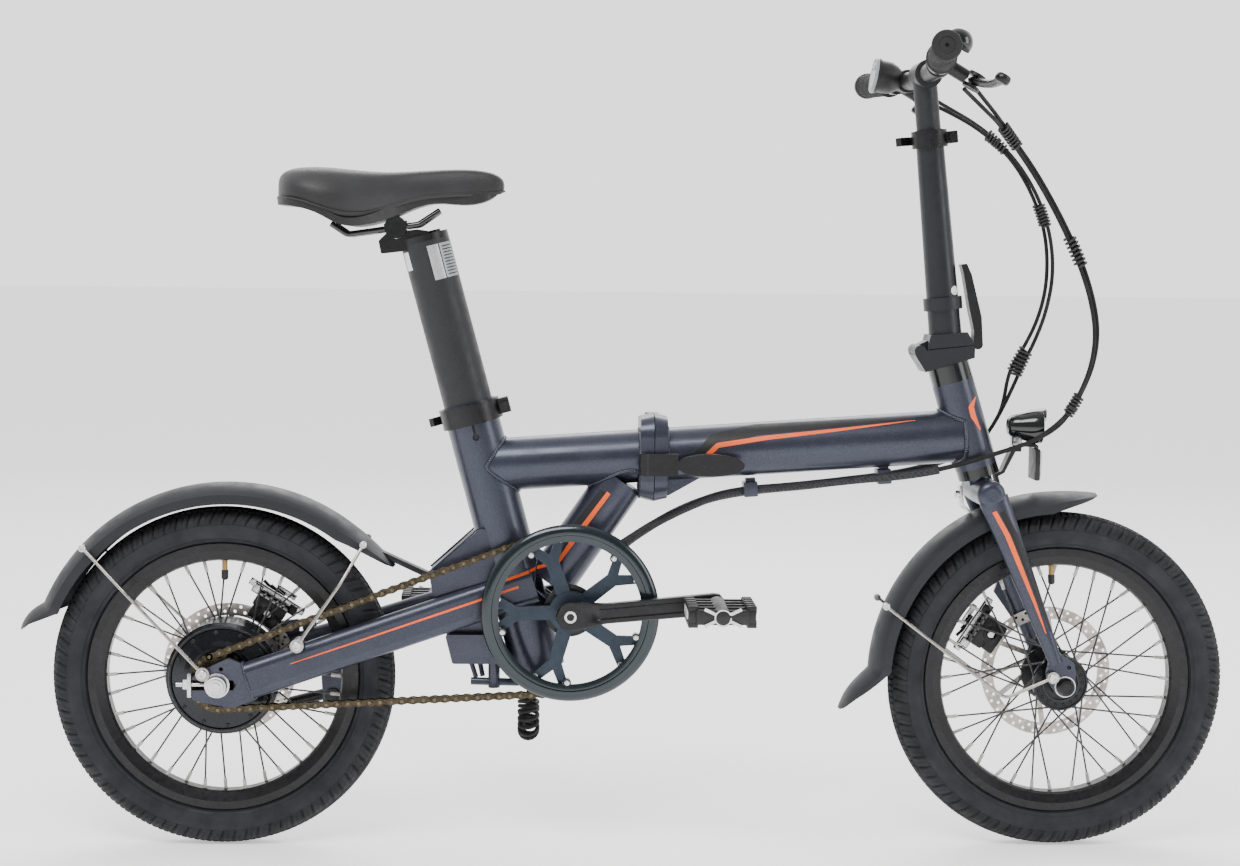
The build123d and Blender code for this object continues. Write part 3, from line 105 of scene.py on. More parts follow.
def set_stage():
    """A pale floor and soft light from the photographer's side."""
    world = bpy.data.worlds.new("studio")
    world.use_nodes = True
    tree = world.node_tree
    backdrop = tree.nodes["Background"]
    backdrop.inputs["Color"].default_value = (1, 1, 1, 1)
    direction = tree.nodes.new("ShaderNodeTexCoord")
    parts = tree.nodes.new("ShaderNodeSeparateXYZ")
    level = tree.nodes.new("ShaderNodeMapRange")
    level.inputs["From Min"].default_value = -0.6
    level.inputs["From Max"].default_value = 0.6
    level.inputs["To Min"].default_value = WORLD_NEAR
    level.inputs["To Max"].default_value = WORLD_FAR
    tree.links.new(direction.outputs["Generated"], parts.inputs["Vector"])
    tree.links.new(parts.outputs["Y"], level.inputs["Value"])
    tree.links.new(level.outputs["Result"], backdrop.inputs["Strength"])
    bpy.context.scene.world = world
    area_light("key", (-0.9, -1.9, 3.1), (0, 0, 0.3), (2.2, 1.2), 105)
    area_light("fill", (2.8, -1.4, 1.5), (0.2, 0, 0.5), (1.2, 2.0), 34)
    area_light("rim", (0.3, 2.6, 2.6), (0, 0, 0.2), (3.0, 1.4), 70)
    mesh = bpy.data.meshes.new("floor")
    corners = [(-FLOOR_REACH, -FLOOR_REACH, 0), (FLOOR_REACH, -FLOOR_REACH, 0),
               (FLOOR_REACH, FLOOR_REACH, 0), (-FLOOR_REACH, FLOOR_REACH, 0)]
    mesh.from_pydata(corners, [], [(0, 1, 2, 3)])
    floor = bpy.data.objects.new("floor", mesh)
    bpy.context.scene.collection.objects.link(floor)
    paint = bpy.data.materials.new("floor_white")
    paint.use_nodes = True
    shader = paint.node_tree.nodes["Principled BSDF"]
    shader.inputs["Base Color"].default_value = (0.93, 0.93, 0.93, 1)
    shader.inputs["Roughness"].default_value = 0.7
    shader.inputs["Emission Color"].default_value = (1, 1, 1, 1)
    shader.inputs["Emission Strength"].default_value = FLOOR_GLOW
    mesh.materials.append(paint)


# ---------------------------------------------------------------- materials
class Nodes:
    """A short way to build a material's node tree."""

    def __init__(self, name, roughness, metallic=0.0, coat=0.0, coat_roughness=0.1, specular=0.5,
                 sheen=0.0):
        self.material = bpy.data.materials.new(name)
        self.material.use_nodes = True
        self.tree = self.material.node_tree
        self.shader = self.tree.nodes["Principled BSDF"]
        for socket, value in (("Roughness", roughness), ("Metallic", metallic), ("Coat Weight", coat),
                              ("Coat Roughness", coat_roughness), ("Specular IOR Level", specular),
                              ("Sheen Weight", sheen)):
            self.shader.inputs[socket].default_value = value
        self.place = self.add("ShaderNodeTexCoord").outputs["Object"]

    def add(self, kind, **settings):
        node = self.tree.nodes.new(kind)
        for key, value in settings.items():
            setattr(node, key, value)
        return node

    def link(self, out, into):
        self.tree.links.new(out, into)

    def noise(self, scale, detail=3.0, stretch=None):
        texture = self.add("ShaderNodeTexNoise")
        texture.inputs["Scale"].default_value = scale
        texture.inputs["Detail"].default_value = detail
        if stretch:
            mapping = self.add("ShaderNodeMapping")
            mapping.inputs["Scale"].default_value = stretch
            self.link(self.place, mapping.inputs["Vector"])
            self.link(mapping.outputs["Vector"], texture.inputs["Vector"])
        else:
            self.link(self.place, texture.inputs["Vector"])
        return texture.outputs["Fac"]

    def cells(self, scale, feature="F1", randomness=1.0):
        texture = self.add("ShaderNodeTexVoronoi", feature=feature)
        texture.inputs["Scale"].default_value = scale
        texture.inputs["Randomness"].default_value = randomness
        self.link(self.place, texture.inputs["Vector"])
        return texture.outputs["Distance"]

    def spread(self, value, low, high, from_low=0.35, from_high=0.65):
        node = self.add("ShaderNodeMapRange")
        node.inputs["From Min"].default_value = from_low
        node.inputs["From Max"].default_value = from_high
        node.inputs["To Min"].default_value = low
        node.inputs["To Max"].default_value = high
        self.link(value, node.inputs["Value"])
        return node.outputs["Result"]

    def blend(self, share, first, second):
        node = self.add("ShaderNodeMix", data_type="RGBA")
        self.link(share, node.inputs["Factor"])
        for socket, colour in ((node.inputs[6], first), (node.inputs[7], second)):
            if isinstance(colour, tuple):
                socket.default_value = (*colour, 1)
            else:
                self.link(colour, socket)
        return node.outputs[2]

    def colour(self, out):
        self.link(out, self.shader.inputs["Base Color"])

    def roughness(self, out):
        self.link(out, self.shader.inputs["Roughness"])

    def bump(self, height, strength, distance, under=None):
        node = self.add("ShaderNodeBump")
        node.inputs["Strength"].default_value = strength
        node.inputs["Distance"].default_value = distance
        self.link(height, node.inputs["Height"])
        if under:
            self.link(under, node.inputs["Normal"])
        return node.outputs["Normal"]

    def normal(self, out):
        self.link(out, self.shader.inputs["Normal"])


def shade(colour, factor):
    return tuple(min(1.0, part * factor) for part in colour)


def finish_paint(name, colour, rough, metallic=0.0, coat=0.0, mottle=0.12, mottle_scale=14.0, grain=0.25,
                 grain_scale=900.0, rough_spread=0.07, specular=0.5, wear=None):
    """Paint, metal or plastic with faint blotches, a fine grain and uneven gloss."""
    n = Nodes(name, rough, metallic, coat, specular=specular)
    blotch = n.noise(mottle_scale, 4)
    fine = n.noise(grain_scale, 2)
    base = n.blend(n.spread(blotch, 0, 1), shade(colour, 1 - mottle), shade(colour, 1 + mottle))
    flecks = n.blend(n.spread(fine, 0, 1, 0.45, 0.8), base, wear or shade(colour, 1.35))
    n.colour(flecks)
    n.roughness(n.spread(n.noise(mottle_scale * 5, 5), rough - rough_spread, rough + rough_spread))
    n.normal(n.bump(fine, grain, 0.0002))
    return n.material


def brushed_steel(name, colour, rough, axis_stretch):
    """Metal with fine drawn lines along one axis."""
    n = Nodes(name, rough, 1.0)
    lines = n.noise(260, 3, axis_stretch)
    n.colour(n.blend(n.spread(n.noise(40, 3), 0, 1), shade(colour, 0.86), shade(colour, 1.08)))
    n.roughness(n.spread(lines, rough - 0.1, rough + 0.1))
    n.normal(n.bump(lines, 0.25, 0.00015))
    return n.material


def leather(name):
    """Black synthetic leather with a fine pebbled grain."""
    n = Nodes(name, 0.5, sheen=0.05)
    pebbles = n.cells(820, "F1")
    n.colour(n.blend(n.spread(n.noise(30, 4), 0, 1), (0.007, 0.007, 0.008), (0.012, 0.012, 0.014)))
    n.roughness(n.spread(pebbles, 0.42, 0.58, 0.1, 0.7))
    n.normal(n.bump(pebbles, 0.35, 0.00035, n.bump(n.noise(60, 4), 0.15, 0.0015)))
    return n.material


def rubber(name, colour, lines=0.0):
    """Moulded rubber with dust in its grain."""
    n = Nodes(name, 0.72, specular=0.35)
    grain = n.noise(700, 3)
    n.colour(n.blend(n.spread(n.noise(22, 5), 0, 1), shade(colour, 0.8), shade(colour, 1.3)))
    n.roughness(n.spread(n.noise(60, 4), 0.6, 0.82))
    n.normal(n.bump(grain, 0.3 + lines, 0.0003))
    return n.material


def spoke_material(name, axle_x):
    """Black spokes whose nipples, next to the rim, are bright."""
    n = Nodes(name, 0.35, 0.0)
    parts = n.add("ShaderNodeSeparateXYZ")
    n.link(n.place, parts.inputs["Vector"])
    offset = []
    for axis, centre in (("X", axle_x * MM), ("Z", WHEEL_Z * MM)):
        away = n.add("ShaderNodeMath", operation="SUBTRACT")
        n.link(parts.outputs[axis], away.inputs[0])
        away.inputs[1].default_value = centre
        square = n.add("ShaderNodeMath", operation="POWER")
        n.link(away.outputs[0], square.inputs[0])
        square.inputs[1].default_value = 2
        offset.append(square.outputs[0])
    total = n.add("ShaderNodeMath", operation="ADD")
    n.link(offset[0], total.inputs[0])
    n.link(offset[1], total.inputs[1])
    nipple = n.add("ShaderNodeMath", operation="GREATER_THAN")
    n.link(total.outputs[0], nipple.inputs[0])
    nipple.inputs[1].default_value = (0.1268) ** 2
    bright = n.blend(n.spread(n.noise(300), 0, 1), (0.34, 0.32, 0.29), (0.55, 0.53, 0.49))
    dark = n.blend(n.spread(n.noise(200), 0, 1), (0.012, 0.012, 0.013), (0.03, 0.03, 0.032))
    n.colour(n.blend(nipple.outputs[0], dark, bright))
    n.roughness(n.spread(n.noise(500), 0.28, 0.42))
    return n.material


def braid_material(name):
    """A woven cable sleeve."""
    n = Nodes(name, 0.75)
    wave_a = n.add("ShaderNodeTexWave", bands_direction="DIAGONAL")
    wave_a.inputs["Scale"].default_value = 120
    wave_a.inputs["Distortion"].default_value = 1.2
    n.link(n.place, wave_a.inputs["Vector"])
    weave = n.cells(520, "F1", 0.35)
    n.colour(n.blend(n.spread(weave, 0, 1, 0.2, 0.6), (0.035, 0.035, 0.04), (0.006, 0.006, 0.008)))
    n.roughness(n.spread(wave_a.outputs["Fac"], 0.6, 0.85, 0, 1))
    n.normal(n.bump(weave, 0.6, 0.0008))
    return n.material


def make_materials():
    return {
        "frame_paint": finish_paint("frame_paint", (0.030, 0.033, 0.050), 0.34, 0.6, 0.15, 0.10, 9, 0.12,
                                    1400, 0.05, wear=(0.075, 0.082, 0.115)),
        "weld_paint": finish_paint("weld_paint", (0.036, 0.040, 0.058), 0.3, 0.6, 0.2, 0.18, 60, 0.2, 1400),
        "orange": finish_paint("orange_stripe", (0.83, 0.105, 0.012), 0.5, 0.0, 0.0, 0.05, 30, 0.1, 900),
        "dark_stripe": finish_paint("dark_stripe", (0.004, 0.004, 0.005), 0.5, 0.1, 0.0, 0.15, 30, 0.15,
                                    900),
        "black_metal": finish_paint("black_metal", (0.006, 0.006, 0.007), 0.34, 0.35, 0.0, 0.25, 30, 0.25,
                                    1100, wear=(0.018, 0.018, 0.02)),
        "post_metal": finish_paint("post_metal", (0.017, 0.017, 0.019), 0.46, 0.4, 0.0, 0.12, 20, 0.3, 1500,
                                   wear=(0.032, 0.033, 0.036)),
        "handlepost_paint": finish_paint("handlepost_paint", (0.016, 0.017, 0.020), 0.4, 0.5, 0.05, 0.1, 16,
                                         0.2, 1400),
        "spider_metal": finish_paint("spider_metal", (0.024, 0.034, 0.048), 0.38, 0.6, 0.0, 0.15, 40, 0.2,
                                     1200),
        "guard_gloss": finish_paint("guard_gloss", (0.008, 0.015, 0.020), 0.2, 0.45, 0.5, 0.2, 26, 0.06,
                                    900, 0.05),
        "bright_metal": finish_paint("bright_metal", (0.60, 0.60, 0.61), 0.3, 1.0, 0.0, 0.1, 50, 0.25, 900,
                                     0.1),
        "stainless": brushed_steel("stainless", (0.42, 0.40, 0.37), 0.32, (1.0, 1.0, 1.0)),
        "rotor_steel": brushed_steel("rotor_steel", (0.50, 0.46, 0.42), 0.34, (1.0, 0.1, 1.0)),
        "gold": finish_paint("brass", (0.30, 0.20, 0.08), 0.36, 1.0, 0.0, 0.15, 80, 0.2, 900),
        "chain_steel": finish_paint("chain_steel", (0.045, 0.034, 0.020), 0.36, 0.9, 0.0, 0.4, 120, 0.3,
                                    900, wear=(0.12, 0.10, 0.065)),
        "chain_pins": finish_paint("chain_pins", (0.13, 0.11, 0.075), 0.4, 0.9, 0.0, 0.3, 200, 0.2, 900),
        "motor_black": finish_paint("motor_black", (0.007, 0.008, 0.011), 0.24, 0.6, 0.3, 0.2, 30, 0.06,
                                    900),
        "tyre_rubber": rubber("tyre_rubber", (0.013, 0.0135, 0.017)),
        "tread_rubber": rubber("tread_rubber", (0.010, 0.0102, 0.0125), 0.15),
        "grip_rubber": rubber("grip_rubber", (0.012, 0.012, 0.013), 0.1),
        "cable_jacket": rubber("cable_jacket", (0.005, 0.005, 0.0055)),
        "leather": leather("saddle_leather"),
        "fender_plastic": finish_paint("fender_plastic", (0.010, 0.011, 0.014), 0.46, 0.0, 0.0, 0.15, 12,
                                       0.3, 700, specular=0.35),
        "black_plastic": finish_paint("black_plastic", (0.006, 0.006, 0.0065), 0.46, 0.0, 0.0, 0.2, 24, 0.3,
                                      900),
        "gloss_black": finish_paint("gloss_black", (0.004, 0.0045, 0.005), 0.14, 0.0, 0.4, 0.2, 24, 0.03,
                                    900, 0.04),
        "headset_black": finish_paint("headset_black", (0.004, 0.0045, 0.005), 0.2, 0.5, 0.5, 0.2, 24, 0.05,
                                      900, 0.05),
        "cell_wrap": finish_paint("cell_wrap", (0.03, 0.16, 0.10), 0.3, 0.0, 0.2, 0.1, 50, 0.05, 500),
        "white_plastic": finish_paint("white_reflector", (0.72, 0.73, 0.74), 0.22, 0.0, 0.3, 0.1, 200, 0.4,
                                      350),
        "light_grey": finish_paint("light_grey", (0.26, 0.27, 0.28), 0.34, 0.1, 0.1, 0.08, 40, 0.15, 900),
        "silver_label": finish_paint("silver_label", (0.52, 0.52, 0.53), 0.36, 0.7, 0.0, 0.1, 120, 0.15,
                                     900),
        "rear_spokes": spoke_material("rear_spoke_steel", REAR_X),
        "front_spokes": spoke_material("front_spoke_steel", FRONT_X),
        "braid": braid_material("braided_sleeve"),
    }


# ---------------------------------------------------------------- mesh helpers
def build(name, bm, material, body, sharp=35, modifiers=()):
    """Turns a bmesh into a piece that rides on a body."""
    bmesh.ops.recalc_face_normals(bm, faces=bm.faces)
    mesh = bpy.data.meshes.new(name)
    bm.to_mesh(mesh)
    bm.free()
    mesh.shade_smooth()
    mesh.set_sharp_from_angle(angle=radians(sharp))
    for entry in material if isinstance(material, (list, tuple)) else [material]:
        mesh.materials.append(PAINT[entry])
    piece = bpy.data.objects.new(name, mesh)
    bpy.context.scene.collection.objects.link(piece)
    for kind, settings in modifiers:
        modifier = piece.modifiers.new(kind.lower(), kind)
        for key, value in settings.items():
            setattr(modifier, key, value)
    if body:
        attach(piece, body)
    return piece


def grid_faces(bm, rings, closed_rings=False, closed_profile=True):
    """Joins rows of vertices into quads."""
    count = len(rings)
    for i in range(count if closed_rings else count - 1):
        ring, following = rings[i], rings[(i + 1) % count]
        size = len(ring)
        for j in range(size if closed_profile else size - 1):
            k = (j + 1) % size
            bm.faces.new((ring[j], ring[k], following[k], following[j]))


def frames_along(points):
    """A steady pair of side directions at every point of a path."""
    tangents = []
    for i in range(len(points)):
        before, after = points[max(i - 1, 0)], points[min(i + 1, len(points) - 1)]
        tangents.append((after - before).normalized())
    side = tangents[0].orthogonal().normalized()
    out = []
    for tangent in tangents:
        side = (side - tangent * side.dot(tangent)).normalized()
        out.append((side, tangent.cross(side)))
    return out


def add_tube(bm, points, radius, sides=12, material=0, caps=True):
    """A round tube along a path; its radius may be a function of the share of the way along."""
    rings = []
    for i, (point, (a, b)) in enumerate(zip(points, frames_along(points))):
        r = radius(i / (len(points) - 1)) if callable(radius) else radius
        rings.append([bm.verts.new(point + (a * cos(tau * j / sides) + b * sin(tau * j / sides)) * r)
                      for j in range(sides)])
    start = len(bm.faces)
    grid_faces(bm, rings)
    if caps:
        bm.faces.new(list(reversed(rings[0])))
        bm.faces.new(rings[-1])
    bm.faces.ensure_lookup_table()
    for face in bm.faces[start:]:
        face.material_index = material


def add_lathe(bm, origin, axis, profile, segments=64, material=0, closed=True, start=0.0, sweep=tau):
    """A shape turned about an axis from (distance along it, radius) points."""
    axis = Vector(axis).normalized()
    a = axis.orthogonal().normalized() if abs(axis.y) < 0.99 else Vector((1, 0, 0))
    b = axis.cross(a)
    whole = abs(sweep - tau) < 1e-6
    steps = segments if whole else segments + 1
    rings = []
    for i in range(steps):
        turn = start + sweep * i / segments
        out = a * cos(turn) + b * sin(turn)
        rings.append([bm.verts.new(origin + axis * h * MM + out * max(r, 0.01) * MM) for h, r in profile])
    first = len(bm.faces)
    grid_faces(bm, rings, whole, closed)
    if not closed:
        for end in (0, -1):
            if whole:
                bm.faces.new([ring[end] for ring in rings])
    bm.faces.ensure_lookup_table()
    for face in bm.faces[first:]:
        face.material_index = material


def add_plate(bm, outline, y_from, y_to, bevel=0.8, material=0, segments=2):
    """A plate drawn in the side view, in millimetres, with rounded edges."""
    low = [bm.verts.new(mm(x, y_from, z)) for x, z in outline]
    high = [bm.verts.new(mm(x, y_to, z)) for x, z in outline]
    faces = [bm.faces.new(low), bm.faces.new(list(reversed(high)))]
    for i in range(len(low)):
        k = (i + 1) % len(low)
        faces.append(bm.faces.new((low[i], high[i], high[k], low[k])))
    for face in faces:
        face.material_index = material
    if bevel:
        edges = list({edge for face in faces for edge in face.edges})
        bmesh.ops.bevel(bm, geom=edges, offset=bevel * MM, segments=segments, profile=0.6, affect="EDGES")


def add_box(bm, centre, size, x_axis=(1, 0, 0), z_axis=(0, 0, 1), bevel=0.8, material=0):
    """A block with rounded edges, turned to its own axes."""
    x_dir = Vector(x_axis).normalized()
    z_dir = (Vector(z_axis) - x_dir * Vector(z_axis).dot(x_dir)).normalized()
    turn = Matrix((x_dir, z_dir.cross(x_dir), z_dir)).transposed().to_4x4()
    made = bmesh.ops.create_cube(bm, size=1)["verts"]
    place = Matrix.Translation(centre) @ turn @ Matrix.Diagonal((*[s * MM for s in size], 1))
    bmesh.ops.transform(bm, matrix=place, verts=made)
    edges = list({edge for vert in made for edge in vert.link_edges})
    for face in {face for vert in made for face in vert.link_faces}:
        face.material_index = material
    bmesh.ops.bevel(bm, geom=edges, offset=bevel * MM, segments=2, profile=0.6, affect="EDGES",
                    material=material)


def add_bolt(bm, head, axis, radius, height, material=0, kind="socket"):
    """A bolt head: a cap with a socket, a hexagon, or a dome."""
    axis = Vector(axis).normalized()
    if kind == "hex":
        add_lathe(bm, head, axis, [(0, radius), (height, radius), (height * 1.15, radius * 0.86),
                                   (height * 1.15, 0)],
                  6, material, closed=False)
        return
    if kind == "dome":
        arc = [(height * sin(t), radius * cos(t)) for t in [radians(15 * k) for k in range(7)]]
        add_lathe(bm, head, axis, [(0, radius)] + arc, 32, material, closed=False)
        return
    add_lathe(bm, head, axis, [(0, radius), (height * 0.8, radius), (height, radius * 0.85),
                               (height, radius * 0.52), (height * 0.45, radius * 0.5), (height * 0.45,
                                                               0)], 24, material, closed=False)


def raycaster(node):
    """Finds where a line across the bicycle first meets a CAD node."""
    tree = BVHTree.FromObject(NODES[node], bpy.context.evaluated_depsgraph_get())

    def hit(x, z, side, lift=0.25):
        start = mm(x, side * 400, z)
        place, normal, _, _ = tree.ray_cast(start, Vector((0, -side, 0)))
        if place is None or abs(normal.y) < 0.12:
            return None
        return place + normal * lift * MM * (1 if normal.y * side > 0 else -1)

    return hit


def add_stripe(bm, hit, rows, side, material=0, across=6, step=2.5):
    """A painted stripe laid on a node's side: rows of (x, z, half width) along its middle."""
    stations = []
    for (x0, z0, w0), (x1, z1, w1) in zip(rows, rows[1:]):
        count = max(2, ceil(sqrt((x1 - x0) ** 2 + (z1 - z0) ** 2) / step))
        stations += [(x0 + (x1 - x0) * i / count, z0 + (z1 - z0) * i / count, w0 + (w1 - w0) * i / count)
                     for i in range(count)]
    stations.append(rows[-1])
    strips = []
    for i, (x, z, w) in enumerate(stations):
        before, after = stations[max(i - 1, 0)], stations[min(i + 1, len(stations) - 1)]
        run = Vector((after[0] - before[0], after[1] - before[1])).normalized()
        strip = []
        for j in range(across + 1):
            shift = w * (2 * j / across - 1)
            place = hit(x - run.y * shift, z + run.x * shift, side)
            strip.append(bm.verts.new(place) if place else None)
        strips.append(strip)
    for strip, following in zip(strips, strips[1:]):
        for j in range(across):
            corners = (strip[j], strip[j + 1], following[j + 1], following[j])
            if all(corners):
                bm.faces.new(corners).material_index = material


def distance_to_line(point, start, direction):
    away = point - start
    return (away - direction * away.dot(direction)).length


def add_weld(bm, points, radius, closed=True, pitch=3.0):
    """A weld bead: a tube that swells once for every drop of metal."""
    if closed:
        points = points + [points[0]]
    lengths = [0.0]
    for a, b in zip(points, points[1:]):
        lengths.append(lengths[-1] + (b - a).length)
    total = lengths[-1]
    fine, at, i = [], 0.0, 0
    step = pitch * MM / 4
    while at < total:
        while lengths[i + 1] < at:
            i += 1
        share = (at - lengths[i]) / max(lengths[i + 1] - lengths[i], 1e-9)
        fine.append(points[i].lerp(points[i + 1], share))
        at += step
    count = len(fine)
    add_tube(bm, fine + ([fine[0]] if closed else []),
             lambda s: radius * MM * (0.82 + 0.24 * abs(sin(pi * s * count / 4))), 8, caps=not closed)


def tube_seam(start, direction, radius, inside, reach=200):
    """Where a round tube, followed from its start, first meets another shape, all the way round."""
    direction = direction.normalized()
    a = direction.orthogonal().normalized()
    b = direction.cross(a)
    ring = []
    for k in range(72):
        out = a * cos(tau * k / 72) + b * sin(tau * k / 72)
        s = 0.0
        while s < reach and not inside(start + (direction * s + out * radius) * MM):
            s += 0.5
        ring.append(start + (direction * s + out * (radius + 0.3)) * MM)
    return ring


# ---------------------------------------------------------------- directions from the frame's joints
JOINTS = {joint["name"]: joint for joint in frame["joints"]}


def joint_axis(name):
    return Vector(JOINTS[name]["axis"]).normalized()


def joint_place(name):
    return Vector(JOINTS[name]["pos_m"])


SEAT_UP = joint_axis("seatpost_height")
SEAT_FORWARD = Vector((0, 1, 0)).cross(SEAT_UP)
STEM_UP = joint_axis("handlebar_height")
STEM_FORWARD = Vector((0, 1, 0)).cross(STEM_UP)
HEAD_UP = joint_axis("steering")
SEAT_FOOT, STEM_FOOT, HEAD_FOOT = mm(-105.2, 0, 213), mm(377, 0, 622), mm(418.5, 0, 460.5)


def along(foot, up, forward_dir, height, forward=0.0, left=0.0):
    return foot + (up * height + forward_dir * forward + Vector((0, left, 0))) * MM


def on_seat(height, forward=0.0, left=0.0):
    return along(SEAT_FOOT, SEAT_UP, SEAT_FORWARD, height, forward, left)


def on_stem(height, forward=0.0, left=0.0):
    return along(STEM_FOOT, STEM_UP, STEM_FORWARD, height, forward, left)


def on_bar(y):
    """A point on the handlebar's outer straight, which sweeps back and up."""
    share = (abs(y) - 85) / 191
    return mm(344.5 - 25 * share, y, 925 + 8 * share)


def main_tube_z(x):
    return 471 + 0.0707 * (x - 29)


def around(centre_x, centre_z, radius, turn, y):
    return mm(centre_x + radius * cos(turn), y, centre_z + radius * sin(turn))


# ---------------------------------------------------------------- wheels
def make_tyre(wheel, x, body):
    """A tyre with slanting shoulder blocks, a centre ridge and fine lines on its sidewalls."""
    half = [(9.0, 152.2), (12.4, 152.4), (12.5, 160.5), (16.6, 162.6), (18.2, 163.0), (18.8, 164.4),
            (21.6, 167), (22.1, 167.4), (22.6, 168.8), (24.2, 172), (25.0, 177), (24.9, 180), (24.5, 183),
            (24.2, 184.6), (23.4, 187), (22.4, 189.6), (20.9, 192.3), (19.0, 194.9), (16.9, 196.9),
            (15.0, 198.4), (13.2, 199.6), (10.8, 200.9), (8.2, 201.9), (5.6, 202.5), (3.6, 202.8),
            (2.4, 202.9)]
    profile = [(-y, r) for y, r in half] + [(0, 203)] + [(y, r) for y, r in reversed(half)]
    blocks, steps = 84, 12
    bm = bmesh.new()
    rings = []
    for i in range(blocks * steps):
        turn = tau * i / (blocks * steps)
        ring = []
        for y, r in profile:
            side, depth = abs(y), 0.0
            slant = i / steps + 0.5 * (r - 185) / 15 + (0.5 if y > 0 else 0)
            if 183.6 < r < 185.2:
                depth = 1.2
            elif r > 186 and side > 13.4:
                depth = 2.3 if slant % 1 < 0.2 else (1.2 if side > 18 and 0.5 <= slant % 1 < 0.62 else 0)
            elif 12.9 < side <= 13.4 or 3.0 < side < 4.5 and r > 202:
                depth = 1.7
            elif 4.5 < side < 12.9 and r > 199:
                depth = 1.7 if (slant * 2) % 1 < 0.2 else 0
            elif 170 < r < 172.5 or 176 < r < 177.5:
                depth = -0.25
            ring.append(bm.verts.new(mm(x, y * (1 - depth * 0.02), WHEEL_Z)
                                     + Vector((cos(turn), 0, sin(turn))) * (r - depth) * MM))
        rings.append(ring)
    grid_faces(bm, rings, True, True)
    for face in bm.faces:
        middle = face.calc_center_median()
        away = (middle - mm(x, middle.y / MM, WHEEL_Z)).length
        face.material_index = 1 if away > 185 * MM else 0
    tyre = build(wheel + "_tyre_tread", bm, ["tyre_rubber", "tread_rubber"], body, 28)
    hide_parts(wheel + "_tyre")


def make_valve(wheel, x, turn, body):
    """A brass valve stem with a black cap."""
    bm = bmesh.new()
    inward = -Vector((cos(turn), 0, sin(turn)))
    foot = around(x, WHEEL_Z, 139.5, turn, 0)
    add_lathe(bm, foot, inward, [(-2, 4.6), (1.6, 4.4), (2.2, 3.3), (14, 3.3), (14, 0)], 20, 0,
              closed=False)
    add_lathe(bm, foot + inward * 13 * MM, inward,
              [(0, 4.1), (1, 4.3), (10, 4.1), (11.8, 2.6), (11.8, 0)], 20, 1, closed=False)
    build(wheel + "_valve", bm, ["gold", "black_plastic"], body)


def make_motor_details():
    """The motor's side covers: raised rings and a circle of screws, on both sides."""
    bm = bmesh.new()
    for side in (-1, 1):
        for k in range(12):
            turn = tau * k / 12 + 0.12
            add_bolt(bm, around(REAR_X, WHEEL_Z, 56, turn, side * 26.6), (0, side, 0), 2.6, 1.6)
        profile = [(26.4, 63.2), (27.6, 62.6), (27.6, 60.6), (26.4, 60.0)]
        add_lathe(bm, mm(REAR_X, 0, WHEEL_Z), (0, side, 0), profile, 96)
        profile = [(31.4, 39.5), (32.8, 39), (32.8, 37), (31.4, 36.5)]
        add_lathe(bm, mm(REAR_X, 0, WHEEL_Z), (0, side, 0), profile, 96)
    build("motor_cover_screws", bm, "black_metal", "rear_wheel")


def make_axle_nuts():
    """Domed axle nuts, washers and the tensioners' bolts."""
    bm = bmesh.new()
    for side in (-1, 1):
        centre = mm(REAR_X, side * 65.7, WHEEL_Z)
        profile = [(0, 0.0), (0, 14.6), (2.2, 14.6), (2.4, 12.6), (7, 12.6), (8.2, 12.2)]
        profile += [(8.2 + 8.5 * sin(radians(a)), 12 * cos(radians(a))) for a in (10, 25, 40, 55, 70, 84)]
        add_lathe(bm, centre, (0, side, 0), profile + [(16.6, 0)], 40, closed=False)
        add_bolt(bm, mm(-496, side * 73.6, 217), (0, side, 0), 5.2, 3.2)
        add_bolt(bm, mm(-386.5, side * 76.6, 251.5), (0, side, 0), 5.2, 3.2)
        add_bolt(bm, mm(-514.6, side * 62, 203), (-1, 0, 0), 6.4, 5, kind="hex")
        add_plate(bm, [(-514.4, 189), (-509.8, 189), (-509.8, 217), (-514.4, 217)], side * 69.2,
                  side * 54.8, 0.8)
        for x, z, out in ((-641, 359, 35.6), (-313, 365, 35.6)):
            add_bolt(bm, mm(x, side * out, z), (0, side, 0), 4.2, 2.6)
    build("rear_axle_nuts", bm, "bright_metal", "rear_frame")
    bm = bmesh.new()
    for side in (-1, 1):
        add_lathe(bm, mm(FRONT_X, 0, WHEEL_Z), (0, side, 0),
                  [(56.6, 0), (56.6, 11), (58, 11.4), (60.5, 11), (62.5, 10.2), (66.4, 8.8), (66.8, 6),
                   (64.5, 5.6), (64.5, 0)], 40, closed=False)
    build("front_axle_caps", bm, "black_metal", "fork")
    bm = bmesh.new()
    for side in (-1, 1):
        add_bolt(bm, mm(504, side * 64.6, 215), (0, side, 0), 4.8, 3.0)
        add_bolt(bm, mm(308, side * 35.6, 295), (0, side, 0), 4.2, 2.6)
        add_lathe(bm, mm(FRONT_X, 0, WHEEL_Z), (0, side, 0),
                  [(56.6, 7), (56.6, 12.6), (57.4, 12.6), (57.4, 7)], 40)
    # the fender's bracket and its bolt behind the crown
    add_plate(bm, [(398, 437), (401.5, 437), (403.5, 414), (412, 407), (410, 403.5), (400, 411)], -7, 7,
              0.5)
    add_bolt(bm, mm(399, 0, 426), (-0.95, 0, 0.1), 4.8, 4.5, kind="hex")
    build("front_stay_screws", bm, "bright_metal", "fork")


